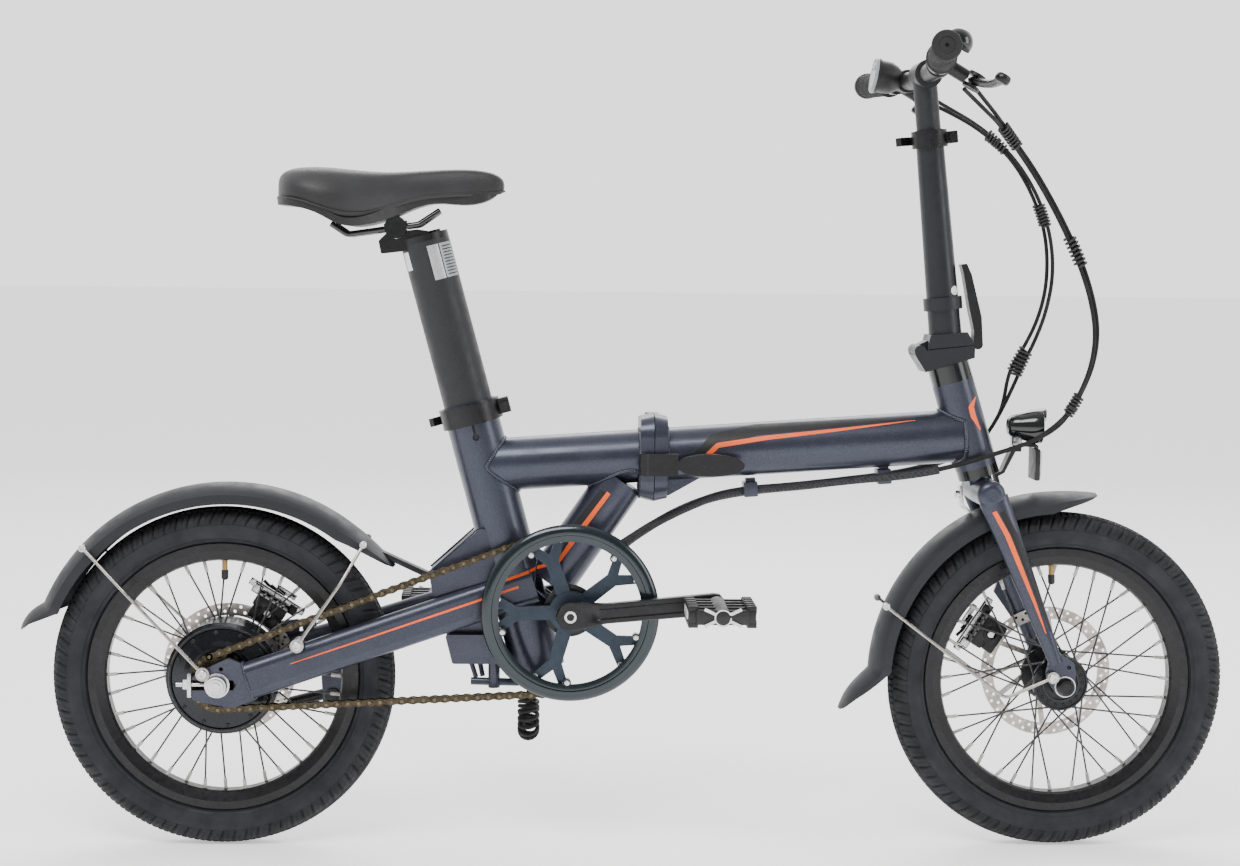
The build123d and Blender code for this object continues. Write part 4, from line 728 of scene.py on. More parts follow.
def make_hub_details():
    """The front hub's flanges have a raised rim and a polished step."""
    bm = bmesh.new()
    for side in (-1, 1):
        for low, high in ((20, 23), (30.5, 33.2)):
            add_lathe(bm, mm(FRONT_X, 0, WHEEL_Z), (0, side, 0),
                      [(33, low), (35, low + 0.4), (35, high - 0.4), (33, high)], 72)
        for k in range(18):
            turn = tau * k / 18
            add_lathe(bm, around(FRONT_X, WHEEL_Z, 27, turn, side * 33.4), (0, side, 0),
                      [(0, 2.3), (0.9, 2.0), (0.9, 1.2), (0, 1.0)], 12)
    build("front_hub_eyelets", bm, "motor_black", "front_wheel")


# ---------------------------------------------------------------- drive
PITCH = 12.7
RING_R = PITCH / (2 * sin(pi / 48))
SPROCKET_R = PITCH / (2 * sin(pi / 16))


def chain_path():
    """Places along the chain's pitch line, starting at the top run's rear end, and its total length."""
    away = Vector((BRACKET[0] - REAR_X, BRACKET[1] - WHEEL_Z))
    slope = atan2(away.y, away.x)
    spread = asin((RING_R - SPROCKET_R) / away.length)
    free = sqrt(away.length ** 2 - (RING_R - SPROCKET_R) ** 2)
    top, bottom = slope + spread + pi / 2, slope - spread - pi / 2
    ring_wrap, sprocket_wrap = pi + 2 * spread, pi - 2 * spread
    total = 2 * free + ring_wrap * RING_R + sprocket_wrap * SPROCKET_R

    def at(s):
        s %= total
        if s < free:
            run = slope + spread
            base = (REAR_X + SPROCKET_R * cos(top), WHEEL_Z + SPROCKET_R * sin(top))
            return base[0] + s * cos(run), base[1] + s * sin(run)
        s -= free
        if s < ring_wrap * RING_R:
            turn = top - s / RING_R
            return BRACKET[0] + RING_R * cos(turn), BRACKET[1] + RING_R * sin(turn)
        s -= ring_wrap * RING_R
        if s < free:
            run = slope - spread + pi
            base = (BRACKET[0] + RING_R * cos(bottom), BRACKET[1] + RING_R * sin(bottom))
            return base[0] + s * cos(run), base[1] + s * sin(run)
        s -= free
        turn = bottom - s / SPROCKET_R
        return REAR_X + SPROCKET_R * cos(turn), WHEEL_Z + SPROCKET_R * sin(turn)

    return at, total


def make_chain():
    """A bush roller chain, link by link."""
    at, total = chain_path()
    links = round(total / PITCH)
    step = total / links
    bm = bmesh.new()
    for k in range(links):
        x0, z0 = at(k * step)
        x1, z1 = at((k + 1) * step)
        turn = atan2(z1 - z0, x1 - x0)
        inner = k % 2 == 0
        for side in (-1, 1):
            outline = []
            for end, (cx, cz) in ((pi, (x0, z0)), (0, (x1, z1))):
                outline += [(cx + 4.4 * cos(turn + end + a), cz + 4.4 * sin(turn + end + a))
                            for a in [radians(d) for d in (-100, -60, -20, 20, 60, 100)]]
            middle = ((x0 + x1) / 2, (z0 + z1) / 2)
            outline.insert(6, (middle[0] + 2.9 * cos(turn - pi / 2), middle[1] + 2.9 * sin(turn - pi / 2)))
            outline.append((middle[0] + 2.9 * cos(turn + pi / 2), middle[1] + 2.9 * sin(turn + pi / 2)))
            near = 2.7 if inner else 3.7
            y = -46
            add_plate(bm, outline, y + side * near, y + side * (near + 0.9), 0)
        add_lathe(bm, mm(x0, -46, z0), (0, 1, 0), [(-2.6, 0), (-2.6, 3.8), (2.6, 3.8), (2.6, 0)], 14,
                  closed=False)
        add_lathe(bm, mm(x0, -46, z0), (0, 1, 0),
                  [(-5.4, 0), (-5.4, 1.9), (-4.9, 2.3), (4.9, 2.3), (5.4, 1.9), (5.4, 0)], 12, 1,
                  closed=False)
    chain = build("roller_chain", bm, ["chain_steel", "chain_pins"], "rear_frame", 30)
    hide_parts("chain")


def make_chainring_bolts():
    bm = bmesh.new()
    for step in range(5):
        turn = radians(110 - 72 * step)
        for fork in (-0.21, 0.21):
            add_bolt(bm, around(*BRACKET, 86.5, turn + fork, -51.2), (0, -1, 0), 3.4, 1.2)
    build("chainring_bolts", bm, "bright_metal", "crank")


def make_guard():
    """The glossy guard ring, with a stepped edge and five lugs."""
    bm = bmesh.new()
    profile = [(57.2, 84.5), (57.0, 99), (55.2, 104.2), (57.8, 104.8), (60.4, 103.0), (62.2, 99.2),
               (62.8, 96), (62.4, 92.6), (61.0, 91.8), (60.8, 86.6), (60.0, 84.4)]
    add_lathe(bm, mm(BRACKET[0], 0, BRACKET[1]), (0, -1, 0), profile, 128)
    for step in range(5):
        turn = radians(124 - 72 * step)
        foot = around(*BRACKET, 82.5, turn, -51.4)
        add_lathe(bm, foot, (0, -1, 0), [(0, 4.8), (8.6, 4.8), (9.4, 4), (9.4, 0)], 24, closed=False)
        add_bolt(bm, around(*BRACKET, 82.5, turn, -60.6), (0, -1, 0), 3.0, 1.0, material=1)
    guard = build("guard_ring", bm, ["guard_gloss", "bright_metal"], "crank")
    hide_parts("chain_guard")


def make_cranks():
    """Forged crank arms with a long hollow in their outer face."""
    rise = radians(5.4)
    ahead, over = Vector((cos(rise), 0, sin(rise))), Vector((-sin(rise), 0, cos(rise)))
    bm = bmesh.new()
    centre = mm(BRACKET[0], 0, BRACKET[1])
    for side in (-1, 1):
        run = ahead * -side
        rings = []
        stations = 30
        for i in range(stations + 1):
            s = -17 + (170 + 12 + 17) * i / stations
            if s < 0:
                half = sqrt(max(17 ** 2 - s * s, 4))
            elif s > 168:
                half = sqrt(max(12.4 ** 2 - (s - 169.6) ** 2, 3))
            else:
                half = 17 - (17 - 11.5) * min(s / 40, 1) if s < 40 else 11.5 + 0.9 * (s - 40) / 128
            hollow = 2.6 * max(0.0, min(1.0, (s - 24) / 14, (150 - s) / 14))
            section = [(-half, 1.6), (-half + 1.2, 0), (half - 1.2, 0), (half, 1.6), (half, 11.4),
                       (half - 1.4, 13), (half * 0.55, 13), (half * 0.42, 13 - hollow), (-half * 0.42,
                                                                       13 - hollow), (-half * 0.55, 13),
                       (-half + 1.4, 13), (-half, 11.4)]
            rings.append([bm.verts.new(centre + (run * s + over * u + Vector((0, side * (75 + y), 0))) * MM)
                          for u, y in section])
        grid_faces(bm, rings)
        bm.faces.new(list(reversed(rings[0])))
        bm.faces.new(rings[-1])
        add_lathe(bm, centre, (0, side, 0), [(87.2, 0), (87.2, 7.4), (88.6, 7.0), (88.6, 4.4), (86, 4.2),
                                             (86, 0)], 32,
                  1, closed=False)
        add_lathe(bm, centre, (0, side, 0), [(87.4, 8.2), (87.4, 11.4), (88.2, 11), (88.2, 8.6)], 40)
        inner_end = 38 if side > 0 else 54
        add_lathe(bm, centre, (0, side, 0), [(inner_end, 0), (inner_end, 13.6), (inner_end + 3, 14),
                                             (73, 14), (75.4, 16), (75.4, 0)], 48, closed=False)
    add_lathe(bm, centre, (0, 1, 0), [(-60, 0), (-60, 8.9), (60, 8.9), (60, 0)], 24, closed=False)
    cranks = build("forged_cranks", bm, ["black_metal", "bright_metal"], "crank", 30)
    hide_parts("crank_arms")


def make_pedal(name, side):
    """A pedal with a ribbed body, a toothed cage and reflectors at its front and back."""
    low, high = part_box(name)
    x, z = (low.x + high.x) / 2 / MM, (low.z + high.z) / 2 / MM
    bm = bmesh.new()
    add_lathe(bm, mm(x, 0, z), (0, side, 0), [(88.5, 0), (88.5, 7.4), (91, 8.2), (93, 8.2), (93, 10.5),
                                              (97, 10.5), (97, 11), (183, 10), (184, 8),
                                              (184, 0)], 32, closed=False)
    add_lathe(bm, mm(x, 0, z), (0, side, 0), [(75.2, 0), (75.2, 5.8), (89, 5.8), (89, 0)], 24, 1,
              closed=False)
    for edge in (-1, 1):
        teeth = [(99 + 6.5 * k, 2.8 if k % 2 else 0) for k in range(13)]
        face_x = x + edge * 33
        for level in (-1, 1):
            for (y0, tooth), (y1, _) in zip(teeth, teeth[1:]):
                add_box(bm, mm(face_x, side * (y0 + y1) / 2, z + level * 8.2), (11, 6.3, 5.4 + tooth),
                        bevel=0.6)
        add_box(bm, mm(face_x, side * 138.5, z), (9.4, 80, 13), bevel=1.2)
        add_box(bm, mm(x + edge * 38.0, side * 138.5, z), (2.0, 46, 10.5), bevel=0.5, material=2)
    for y in (101, 119, 138, 157, 178):
        add_box(bm, mm(x, side * y, z), (60, 5.5, 17), bevel=1.2)
    for turn in (38, 142, 218, 322):
        arm = Vector((cos(radians(turn)), 0, sin(radians(turn))))
        add_box(bm, mm(x + arm.x * 15, side * 182.4, z + arm.z * 9), (20, 2.6, 3.4),
                (arm.x, 0, arm.z * 0.6), (0, 0, 1), 0.6, 2)
    add_lathe(bm, mm(x, 0, z), (0, side, 0), [(181, 9.6), (183.9, 9.6), (183.9, 7.2), (181, 6.6)], 32, 2)
    pedal = build(name + "_cage", bm, ["black_plastic", "bright_metal", "white_plastic"], name)
    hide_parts(name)


# ---------------------------------------------------------------- saddle
SADDLE = [
    # x, half width, top, height of the lower edge
    (-415, 10, 790, 767), (-411, 42, 798, 766), (-399, 64, 804.5, 764), (-380, 76, 807,
                                                                         759), (-356, 78.5, 807, 750),
    (-332, 71, 805, 744.5), (-306, 57, 802.5, 746), (-280, 42, 802, 757), (-252, 31, 804,
                                                                           768), (-222, 25, 806, 772),
    (-194, 21.5, 807, 773.5), (-170, 19, 805, 775), (-156, 16.5, 800, 777), (-150, 10, 793, 780),
]


def make_saddle():
    """The padded cover: a crowned form with a shallow channel and a rolled lower edge."""
    bm = bmesh.new()
    rings = []
    for x, half, top, low in SADDLE:
        deep = top - low
        wide = min(1.0, half / 70)
        channel = 3.2 * max(0.0, min(1.0, (x + 405) / 30, (-215 - x) / 60))
        upper = [(0, top - channel), (0.16, top - channel * 0.75), (0.34, top + 0.4),
                 (0.55, top - 1.0 * wide), (0.76, top - 4.2 * wide - 0.02 * deep),
                 (0.91, top - deep * (0.22 + 0.1 * wide)), (0.99, top - deep * 0.5),
                 (1.0, top - deep * 0.72), (0.975, low + deep * 0.09), (0.93, low + 0.6)]
        section = [(y * half, z) for y, z in upper]
        under = [(0.8 * half, low + 2.5), (0.4 * half, low + 4.5), (0, low + 5)]
        loop = section + under
        ring = [bm.verts.new(mm(x, y, z)) for y, z in loop]
        ring += [bm.verts.new(mm(x, -y, z)) for y, z in reversed(loop[1:-1])]
        rings.append(ring)
    grid_faces(bm, rings)
    bm.faces.new(list(reversed(rings[0])))
    bm.faces.new(rings[-1])
    cover = build("saddle_padding", bm, "leather", "saddle", 60,
                  [("SUBSURF", {"levels": 2, "render_levels": 2})])
    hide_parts("saddle_cover")
    bm = bmesh.new()
    for side in (-1, 1):
        rail = [mm(x, side * half * 0.997, low + (top - low) * 0.16) for x, half, top, low in SADDLE]
        add_tube(bm, smooth_points(rail, 8), 0.0009, 8)
    build("saddle_piping", bm, "leather", "saddle")


def smooth_points(points, per_span):
    """A smooth line through every point."""
    out = []
    for i in range(len(points) - 1):
        a, b = points[max(i - 1, 0)], points[i]
        c, d = points[i + 1], points[min(i + 2, len(points) - 1)]
        for k in range(per_span):
            t = k / per_span
            out.append(0.5 * ((2 * b) + (c - a) * t + (2 * a - 5 * b + 4 * c - d) * t ** 2
                              + (3 * b - a - 3 * c + d) * t ** 3))
    return out + [points[-1]]


# ---------------------------------------------------------------- cables
UPPER_ROUTES = [
    [(378.3, -118, 905.8), (404, -92, 884), (424, -66, 868), (446, -44, 846), (472, -33, 815),
     (496, -29, 778), (517, -28, 740), (536, -28, 700), (549, -28.5, 660), (555, -29, 622),
     (550, -29.5, 584), (536, -29, 549), (519, -28, 520)],
    [(368.3, -124, 899.8), (399, -97, 878), (421, -69, 865), (443, -47.5, 843), (468.5, -36.5, 812),
     (492.5, -32.5, 775), (513, -32, 737), (531.5, -32, 697), (544.5, -32, 657.5), (550.5, -32.5, 620),
     (546, -33, 582.5), (532.5, -32.5, 548), (515.5, -31.5, 519.5)],
    [(378.3, 118, 905.8), (398, 92, 890), (414, 66, 877), (434, 45, 859), (460, 33, 833), (484, 27, 798),
     (500, 24, 761), (509, 23, 724), (511, 23.5, 687), (505, 24, 650), (494, 25, 616), (478, 27, 582)],
    [(352, 104, 903), (366, 84, 899), (389, 66, 886), (416, 49, 869), (444, 38, 846), (469, 33, 816),
     (488, 30, 780), (500, 27.5, 745), (505, 28, 709), (504, 29, 671), (495, 30, 635), (480, 31, 603),
     (462, 32.5, 574)],
]
LOWER_ROUTES = [
    [(518.4, -28, 519), (502, -29.5, 505), (480, -32, 494), (453, -34.5, 485), (424, -36, 476),
     (392, -35, 466), (358, -29, 457), (320, -18, 450), (278, -9, 445.5), (233, -7, 440), (188, -7, 435),
     (143, -7, 431.5), (104, -7.5, 424), (68, -8, 409), (36, -9, 393), (8, -12, 376), (-18, -17, 359)],
    [(477.6, 27, 581), (468, 30, 556), (457, 33, 530), (445, 35.5, 506), (430, 36, 485), (406, 35.5, 470),
     (374, 32, 459), (338, 23, 451), (300, 12, 446), (260, 5, 442), (216, 4, 436), (172, 4, 432),
     (130, 3, 427), (94, 2, 419), (60, 1, 405), (30, -1, 388), (4, -5, 371), (-20, -11, 353)],
]
CABLE_R = 0.0024


def nurbs_points(name, route, per_span=8):
    """The smooth line of a cable: a NURBS spline whose control points are the route's."""
    curve = bpy.data.curves.new(name, "CURVE")
    curve.dimensions = "3D"
    spline = curve.splines.new("NURBS")
    spline.points.add(len(route) - 1)
    for point, place in zip(spline.points, route):
        point.co = (*mm(*place), 1)
    spline.order_u = 3
    spline.use_endpoint_u = True
    spline.resolution_u = per_span
    holder = bpy.data.objects.new(name, curve)
    bpy.context.scene.collection.objects.link(holder)
    bpy.context.view_layer.update()
    mesh = bpy.data.meshes.new_from_object(holder)
    points = [vert.co.copy() for vert in mesh.vertices]
    bpy.data.objects.remove(holder)
    bpy.data.curves.remove(curve)
    bpy.data.meshes.remove(mesh)
    return points


def cable_piece(name, points, bodies, radius=CABLE_R, material="cable_jacket",
                sides=10):
    """A length of cable on one body, or, between two bodies, a piece left unattached with its placement baked
    into its mesh.
    """
    bm = bmesh.new()
    add_tube(bm, points, radius, sides)
    piece = build(name, bm, material, None, 65)
    if len(bodies) == 2:
        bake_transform(piece)
    else:
        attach(piece, bodies[0])
    return piece


def split_at(points, test):
    """Cuts a line in two where its points first pass a test."""
    for i, point in enumerate(points):
        if i > 2 and test(point):
            return points[:i + 1], points[i:]
    return points, points[-2:]


def spiral_wrap(name, centre_points, body, turns, radii):
    """A coil of plastic wrap that gathers two cables."""
    sides = frames_along(centre_points)
    count = turns * 16
    path = []
    for k in range(count + 1):
        s = k / count * (len(centre_points) - 1)
        i = min(int(s), len(centre_points) - 2)
        base = centre_points[i].lerp(centre_points[i + 1], s - i)
        a, b = sides[i]
        turn = tau * turns * k / count
        path.append(base + (a * cos(turn) + b * sin(turn)) * radii[i] * MM)
    bm = bmesh.new()
    add_tube(bm, path, 0.0016, 8)
    build(name, bm, "black_plastic", body, 65)


def make_cables():
    """Four cables, each one smooth line cut at the bodies it passes, and their sleeve under the frame."""
    upper_made, lower_made, upper_lines = [], [], []
    for k, route in enumerate(UPPER_ROUTES):
        pair = LOWER_ROUTES[k // 2]
        shift = 0 if k % 2 == 0 else 1
        lower = [(x, y + shift * 4.6 * min(1, i / 3), z - shift * 1.6 * min(1, i / 3))
                 for i, (x, y, z) in enumerate(pair)][1 + shift:]
        points = nurbs_points("route", route + lower)
        first, rest = split_at(points, lambda p: p.z < 0.800)
        second, rest = split_at(rest, lambda p: p.z < 0.612)
        third, rest = split_at(rest, lambda p: p.x < 0.404)
        fourth, fifth = split_at(rest, lambda p: p.x < 0.110)
        upper_lines.append((first, second, third))
        upper_made += [
            cable_piece(f"cable_{k}_bar", first, ("handlebar", "handlepost")),
            cable_piece(f"cable_{k}_post", second, ("handlepost", "fork"))]
        lower_made += [
            cable_piece(f"cable_{k}_head", third, ("fork", "front_frame")),
            cable_piece(f"cable_{k}_tube", fourth, ("front_frame",)),
            cable_piece(f"cable_{k}_fold", fifth, ("front_frame", "rear_frame"))]
    for pair, name, part, top, foot, body in (
        (0, "top", 0, 0.864, 0.838, "handlebar"), (0, "side", 1, 0.738, 0.703, "handlepost"),
        (0, "foot", 2, 0.552, 0.524, "fork"), (1, "top", 0, 0.862, 0.836, "handlebar"),
        (1, "side", 1, 0.779, 0.745, "handlepost"), (1, "foot", 2, 0.598, 0.566, "fork"),
    ):
        line, other = upper_lines[2 * pair][part], upper_lines[2 * pair + 1][part]
        gather = []
        for point in line:
            near = min(other, key=lambda q: (q - point).length)
            if foot < point.z < top:
                gather.append(((point + near) / 2, (point - near).length / 2 / MM))
        if len(gather) > 3:
            spiral_wrap(f"cable_wrap_{name}_{pair}", [p for p, _ in gather], body, 7,
                        [r + 3.4 for _, r in gather])
    for piece in upper_made:
        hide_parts("handlebar_cables")
    for piece in lower_made:
        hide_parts("frame_cables")
    sleeve = []
    for k in (0, 1):
        route = [(x, y + 1.5, z - 1) for x, y, z in LOWER_ROUTES[k]]
        sleeve.append(nurbs_points("route", route))
    for k, points in enumerate(sleeve):
        front = [p for p in points if 0.100 < p.x < 0.372]
        rear = [p for p in points if -0.012 < p.x <= 0.104]
        cable_piece(f"sleeve_{k}_front", front, ("front_frame",), radius=0.0052, material="braid", sides=16)
        cable_piece(f"sleeve_{k}_rear", rear, ("front_frame", "rear_frame"),
                    0.0052, "braid", 16)
    for k, (x, z) in enumerate(((306, 452), (146, 435.5))):
        bm = bmesh.new()
        add_box(bm, mm(x, -1, z - 4), (17, 27, 18), (1, 0, 0.07), bevel=2.0)
        add_box(bm, mm(x, -1, z + 5.5), (12, 12, 7), (1, 0, 0.07), bevel=1.0)
        build(f"cable_clip_{k}", bm, "frame_paint", "front_frame")


# ---------------------------------------------------------------- battery lead
LEAD_ROUTE = [(-130.7, 0, 306.6), (-121, 0, 270.9), (-112.5, 2, 240), (-110, 10, 219), (-115, 18, 208),
              (-117, 20, 190)]
COIL_TURNS, COIL_R = 13, 11.0


def make_battery_lead():
    """The lead from the battery's plug: straight, then a curly loop, then the controller's connector."""
    loop = [(-117, 20, 190), (-117, 20, 173), (-117, 19.5, 156), (-117, 14, 142), (-117, 0, 136),
            (-117, -14, 142), (-117, -19.5, 156), (-117, -20, 173), (-117, -20, 190)]
    straight = nurbs_points("lead_route", LEAD_ROUTE)
    spine = nurbs_points("coil_route", loop, 16)
    sides = frames_along(spine)
    count = COIL_TURNS * 16
    helix = []
    for k in range(count + 1):
        s = k / count * (len(spine) - 1)
        i = min(int(s), len(spine) - 2)
        a, b = sides[i]
        swell = min(1.0, k / 14, (count - k) / 14)
        turn = tau * COIL_TURNS * k / count
        helix.append(spine[i].lerp(spine[i + 1],
                                   s - i) + (a * cos(turn) + b * sin(turn)) * COIL_R * swell * MM)
    tail = nurbs_points("tail_route", [(-117, -20, 190), (-118, -20, 194.5), (-121.5, -20, 197.8),
                                       (-129, -20, 199)])
    path = straight + helix[1:] + tail[1:]
    bm = bmesh.new()
    add_tube(bm, path, 0.0025, 10)
    lead = build("battery_cord", bm, "cable_jacket", None, 65)
    length = sum((b - a).length for a, b in zip(path, path[1:]))
    print("battery cord length", length)
    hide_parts("battery_lead", "battery_lead_coil")
    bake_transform(lead)


# ---------------------------------------------------------------- frame details
def make_stripes():
    """Orange and dark stripes on the tubes, on both sides."""
    for node, body, sets in (
        ("front_frame", "front_frame", [
            ([(64, 452, 7.5), (101, 491, 8.0), (150, 503.5, 6.0), (250, 512, 3.6), (330, 519, 1.2)], 1),
            ([(70, 453, 2.9), (104, 485.5, 2.9), (160, 494.5, 2.5), (250, 505, 1.6), (340, 516.5, 0.3)],
             0)]),
        ("rear_frame", "rear_frame", [
            ([(-28, 428, 6.5), (-66, 376, 7.5), (-72, 366, 2.0)], 1),
            ([(-24, 428, 2.6), (-62, 376, 3.0), (-82, 347, 2.2), (-104, 338, 1.8), (-150, 322, 1.6)], 0),
            ([(-130, 316, 1.5), (-230, 283, 1.3), (-330, 250, 1.0), (-395, 229, 0.5)], 0)]),
    ):
        hit = raycaster(node)
        bm = bmesh.new()
        for rows, material in sets:
            for side in (-1, 1):
                add_stripe(bm, hit if material else (lambda x, z, s: hit(x, z, s, 0.4)), rows, side,
                           material)
        build(node + "_stripes", bm, ["orange", "dark_stripe"], body)
    hit = raycaster("fork")
    bm = bmesh.new()
    for side in (-1, 1):
        add_stripe(bm, hit, [(439, 412, 3.5), (455, 384, 4.0), (474, 340, 4.0), (500, 270, 1.0)], side, 1,
                   4)
        add_stripe(bm, lambda x, z, s: hit(x, z, s, 0.4),
                   [(430, 412, 2.6), (446, 384, 3.0), (461, 349, 2.8), (480, 304, 1.8), (494, 268, 0.6)],
                   side, 0, 4)
    build("fork_stripes", bm, ["orange", "dark_stripe"], "fork")
    hit = raycaster("front_frame")
    bm = bmesh.new()
    for side in (-1, 1):
        add_stripe(bm, hit, [(412, 545, 0.8), (406, 533, 3.4), (409, 522, 3.4), (418, 506, 0.8)], side, 0,
                   4, 1.5)
    build("head_stripes", bm, ["orange"], "front_frame")


def make_welds():
    """Weld beads where the tubes meet."""
    seat_dir = SEAT_UP
    main_dir = Vector((1, 0, 0.0707)).normalized()
    hinge_rear, hinge_front = 12.8 * MM, 45.6 * MM
    bm = bmesh.new()
    middle = mm(-60, 0, main_tube_z(-60))
    add_weld(bm, tube_seam(middle, -main_dir, 31.75,
                           lambda p: distance_to_line(p, SEAT_FOOT, seat_dir) < 31.9 * MM), 2.3)
    add_weld(bm, tube_seam(middle, main_dir, 31.75, lambda p: p.x > hinge_rear), 2.6)
    strut_from, strut_to = mm(-8, 0, 441), mm(-92, 0, 318)
    strut_dir = (strut_to - strut_from).normalized()
    start = mm(-50, 0, 379.5)
    bracket = mm(BRACKET[0], 0, BRACKET[1])
    add_weld(bm, tube_seam(start, -strut_dir, 28.5,
                           lambda p: distance_to_line(p, middle, main_dir) < 31.9 * MM
                           or p.x > hinge_rear), 2.3)
    add_weld(bm, tube_seam(start, strut_dir, 28.5,
                           lambda p: distance_to_line(p, SEAT_FOOT, seat_dir) < 31.9 * MM
                           or distance_to_line(p, bracket, Vector((0, 1, 0))) < 21.2 * MM, 90), 2.0)
    build("rear_frame_welds", bm, "weld_paint", "rear_frame", 65)
    bm = bmesh.new()
    middle = mm(200, 0, main_tube_z(200))
    add_weld(bm, tube_seam(middle, main_dir, 31.75,
                           lambda p: distance_to_line(p, HEAD_FOOT, HEAD_UP) < 25.2 * MM), 2.8)
    add_weld(bm, tube_seam(middle, -main_dir, 31.75, lambda p: p.x < hinge_front), 2.6)
    build("front_frame_welds", bm, "weld_paint", "front_frame", 65)


def make_chainstay_details():
    """Weld beads round the dropouts and the yoke, and the yoke's edges."""
    bm = bmesh.new()
    for side in (-1, 1):
        ring = []
        for k in range(40):
            turn = tau * k / 40
            centre = mm(-444.5, side * 61, 207.7)
            run = Vector((333, 0, 109.5)).normalized()
            over = Vector((-run.z, 0, run.x))
            ring.append(centre + (over * 23 * cos(turn) + Vector((0, side * 11.6 * sin(turn), 0))) * MM)
        add_weld(bm, ring, 1.8)
    for side in (-1, 1):
        edge = [mm(-177, side * 27.4, 385), mm(-237, side * 27.4, 331)]
        add_weld(bm, [edge[0].lerp(edge[1], k / 12) for k in range(13)], 1.2, False)
    build("chainstay_welds", bm, "weld_paint", "rear_frame", 65)


# ---------------------------------------------------------------- fenders and brakes
def add_shell(bm, stations, thick=1.7):
    """A fender's shell through stations of (point, outward direction, half width, crown, skirt)."""
    rings = []
    for point, out, half, crown, skirt in stations:
        outer = [(-half, crown + skirt), (-half, crown)]
        outer += [(half * t, crown * t * t) for t in (-0.85, -0.6, -0.3, 0, 0.3, 0.6, 0.85)]
        outer += [(half, crown), (half, crown + skirt)]
        inner = [(y * (1 - thick / max(half, 3)), drop + thick * (0.2 if abs(y) >= half else 1))
                 for y, drop in reversed(outer)]
        rings.append([bm.verts.new(point + Vector((0, y, 0)) * MM - out * drop * MM) for y,
                      drop in outer + inner])
    grid_faces(bm, rings)
    bm.faces.new(list(reversed(rings[0])))
    bm.faces.new(rings[-1])


def make_fender(name, body, centre, radius, start, end, tip):
    """A curved fender with a flared lip at its front and a spoon-shaped flap at its tail."""
    cx, cz = centre
    stations = []
    for k in range(61):
        turn = radians(start + (end - start) * k / 60)
        nose = max(0.0, 1 - k / 9)
        out = Vector((cos(turn), 0, sin(turn)))
        stations.append((mm(cx, 0, cz) + out * (radius + 2.5 * nose ** 2) * MM, out,
                         31 * sqrt(max(1 - (0.93 * nose) ** 3,
                                       0.02)), 13 * (1 - 0.8 * nose), 11 * (1 - nose) ** 0.6))
    last, out = stations[-1][0], stations[-1][1]
    run = mm(tip[0], 0, tip[1]) - last
    flat = Vector((run.z, 0, -run.x)).normalized()
    flat = flat if flat.dot(out) > 0 else -flat
    for k in range(1, 15):
        t = k / 14
        lean = out.lerp(flat, min(1, 2.5 * t)).normalized()
        width = 29 * sqrt(max(1 - (0.98 * t) ** 3.5, 0.02))
        stations.append((last + run * t + out * 5 * sin(pi * t) * MM, lean, width,
                         13 * (1 - t) ** 0.7 + 1.5, 9 * (1 - t) ** 2))
    bm = bmesh.new()
    add_shell(bm, stations)
    if name == "rear_fender":
        add_plate(bm, [(-297.4, 356), (-236.4, 328), (-235.2, 320), (-299, 350)], -8, 8, 0.6)
    shell = build(name + "_shell", bm, "fender_plastic", body, 50)
    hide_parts(name)


def make_caliper(name, body, x, rotor_y, z, tilt):
    """A cable disc caliper: two halves astride the rotor, a fixing bridge, a cable arm and a pad adjuster."""
    u = Vector((cos(radians(tilt)), 0, sin(radians(tilt))))
    v = Vector((-u.z, 0, u.x))

    def at(a, b, near):
        return mm(x, rotor_y - near, z) + (u * a + v * b) * MM

    toward = Vector((0, -1, 0))
    bm = bmesh.new()
    add_box(bm, at(0, 7, 0), (42, 34, 16), u, v, 3.5)
    for near in (-1, 1):
        add_box(bm, at(0, -8, near * 10), (38, 14, 16), u, v, 3.5)
    for k in range(4):
        add_box(bm, at(-13 + 8.6 * k, 15.4, 0), (3, 28, 2.6), u, v, 0.6)
    add_lathe(bm, at(2, -1, 0), toward, [(3, 0), (3, 13), (14.5, 13), (16.2, 12), (16.6, 9.4), (18.6, 8.8),
                                         (18.9, 6.4), (17, 6), (17, 0)], 40, closed=False)
    add_bolt(bm, at(2, -1, 17), toward, 4.4, 1.9, 1)
    add_lathe(bm, at(2, -1, 0), -toward, [(3, 0), (3, 12.4), (17, 12.4), (19, 10.5), (20.6, 10),
                                          (20.6, 0)], 36, closed=False)
    add_box(bm, at(0, 19, -6), (76, 6, 9), u, v, 1.6)
    for end in (-1, 1):
        add_bolt(bm, at(end * 33, 19, -3), toward, 4.2, 3.4, 1)
        add_box(bm, at(end * 25, 15, -4), (12, 5, 12), u, v, 1.4)
    add_box(bm, at(2, 6, -22), (11, 3.6, 42), u, v, 1.2)
    add_box(bm, at(8, 26, -22), (25, 3.6, 7), u, v, 1.0)
    add_bolt(bm, at(17, 26, -19.8), toward, 3.4, 2.4, 1, "hex")
    add_tube(bm, [at(-14 + 4 * k, 24 - 0.6 * k, -15) for k in range(6)], 0.0032, 14)
    add_tube(bm, [at(-24 + 2.5 * k, 25.5 - 0.6 * k, -15) for k in range(5)], 0.0021, 10)
    caliper = build(name + "_body", bm, ["black_metal", "bright_metal"], body)
    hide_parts(name)


# ---------------------------------------------------------------- labels
def add_patch(bm, at, radius, low, high, start, end, material=0):
    """A rectangle of film round a tube, between two heights and two angles from the camera's side."""
    rows = []
    for s in (low, (low + high) / 2, high):
        row = []
        for k in range(9):
            a = radians(start + (end - start) * k / 8)
            row.append(bm.verts.new(at(s, radius * sin(a), -radius * cos(a))))
        rows.append(row)
    for row, following in zip(rows, rows[1:]):
        for k in range(8):
            bm.faces.new((row[k], row[k + 1], following[k + 1], following[k])).material_index = material


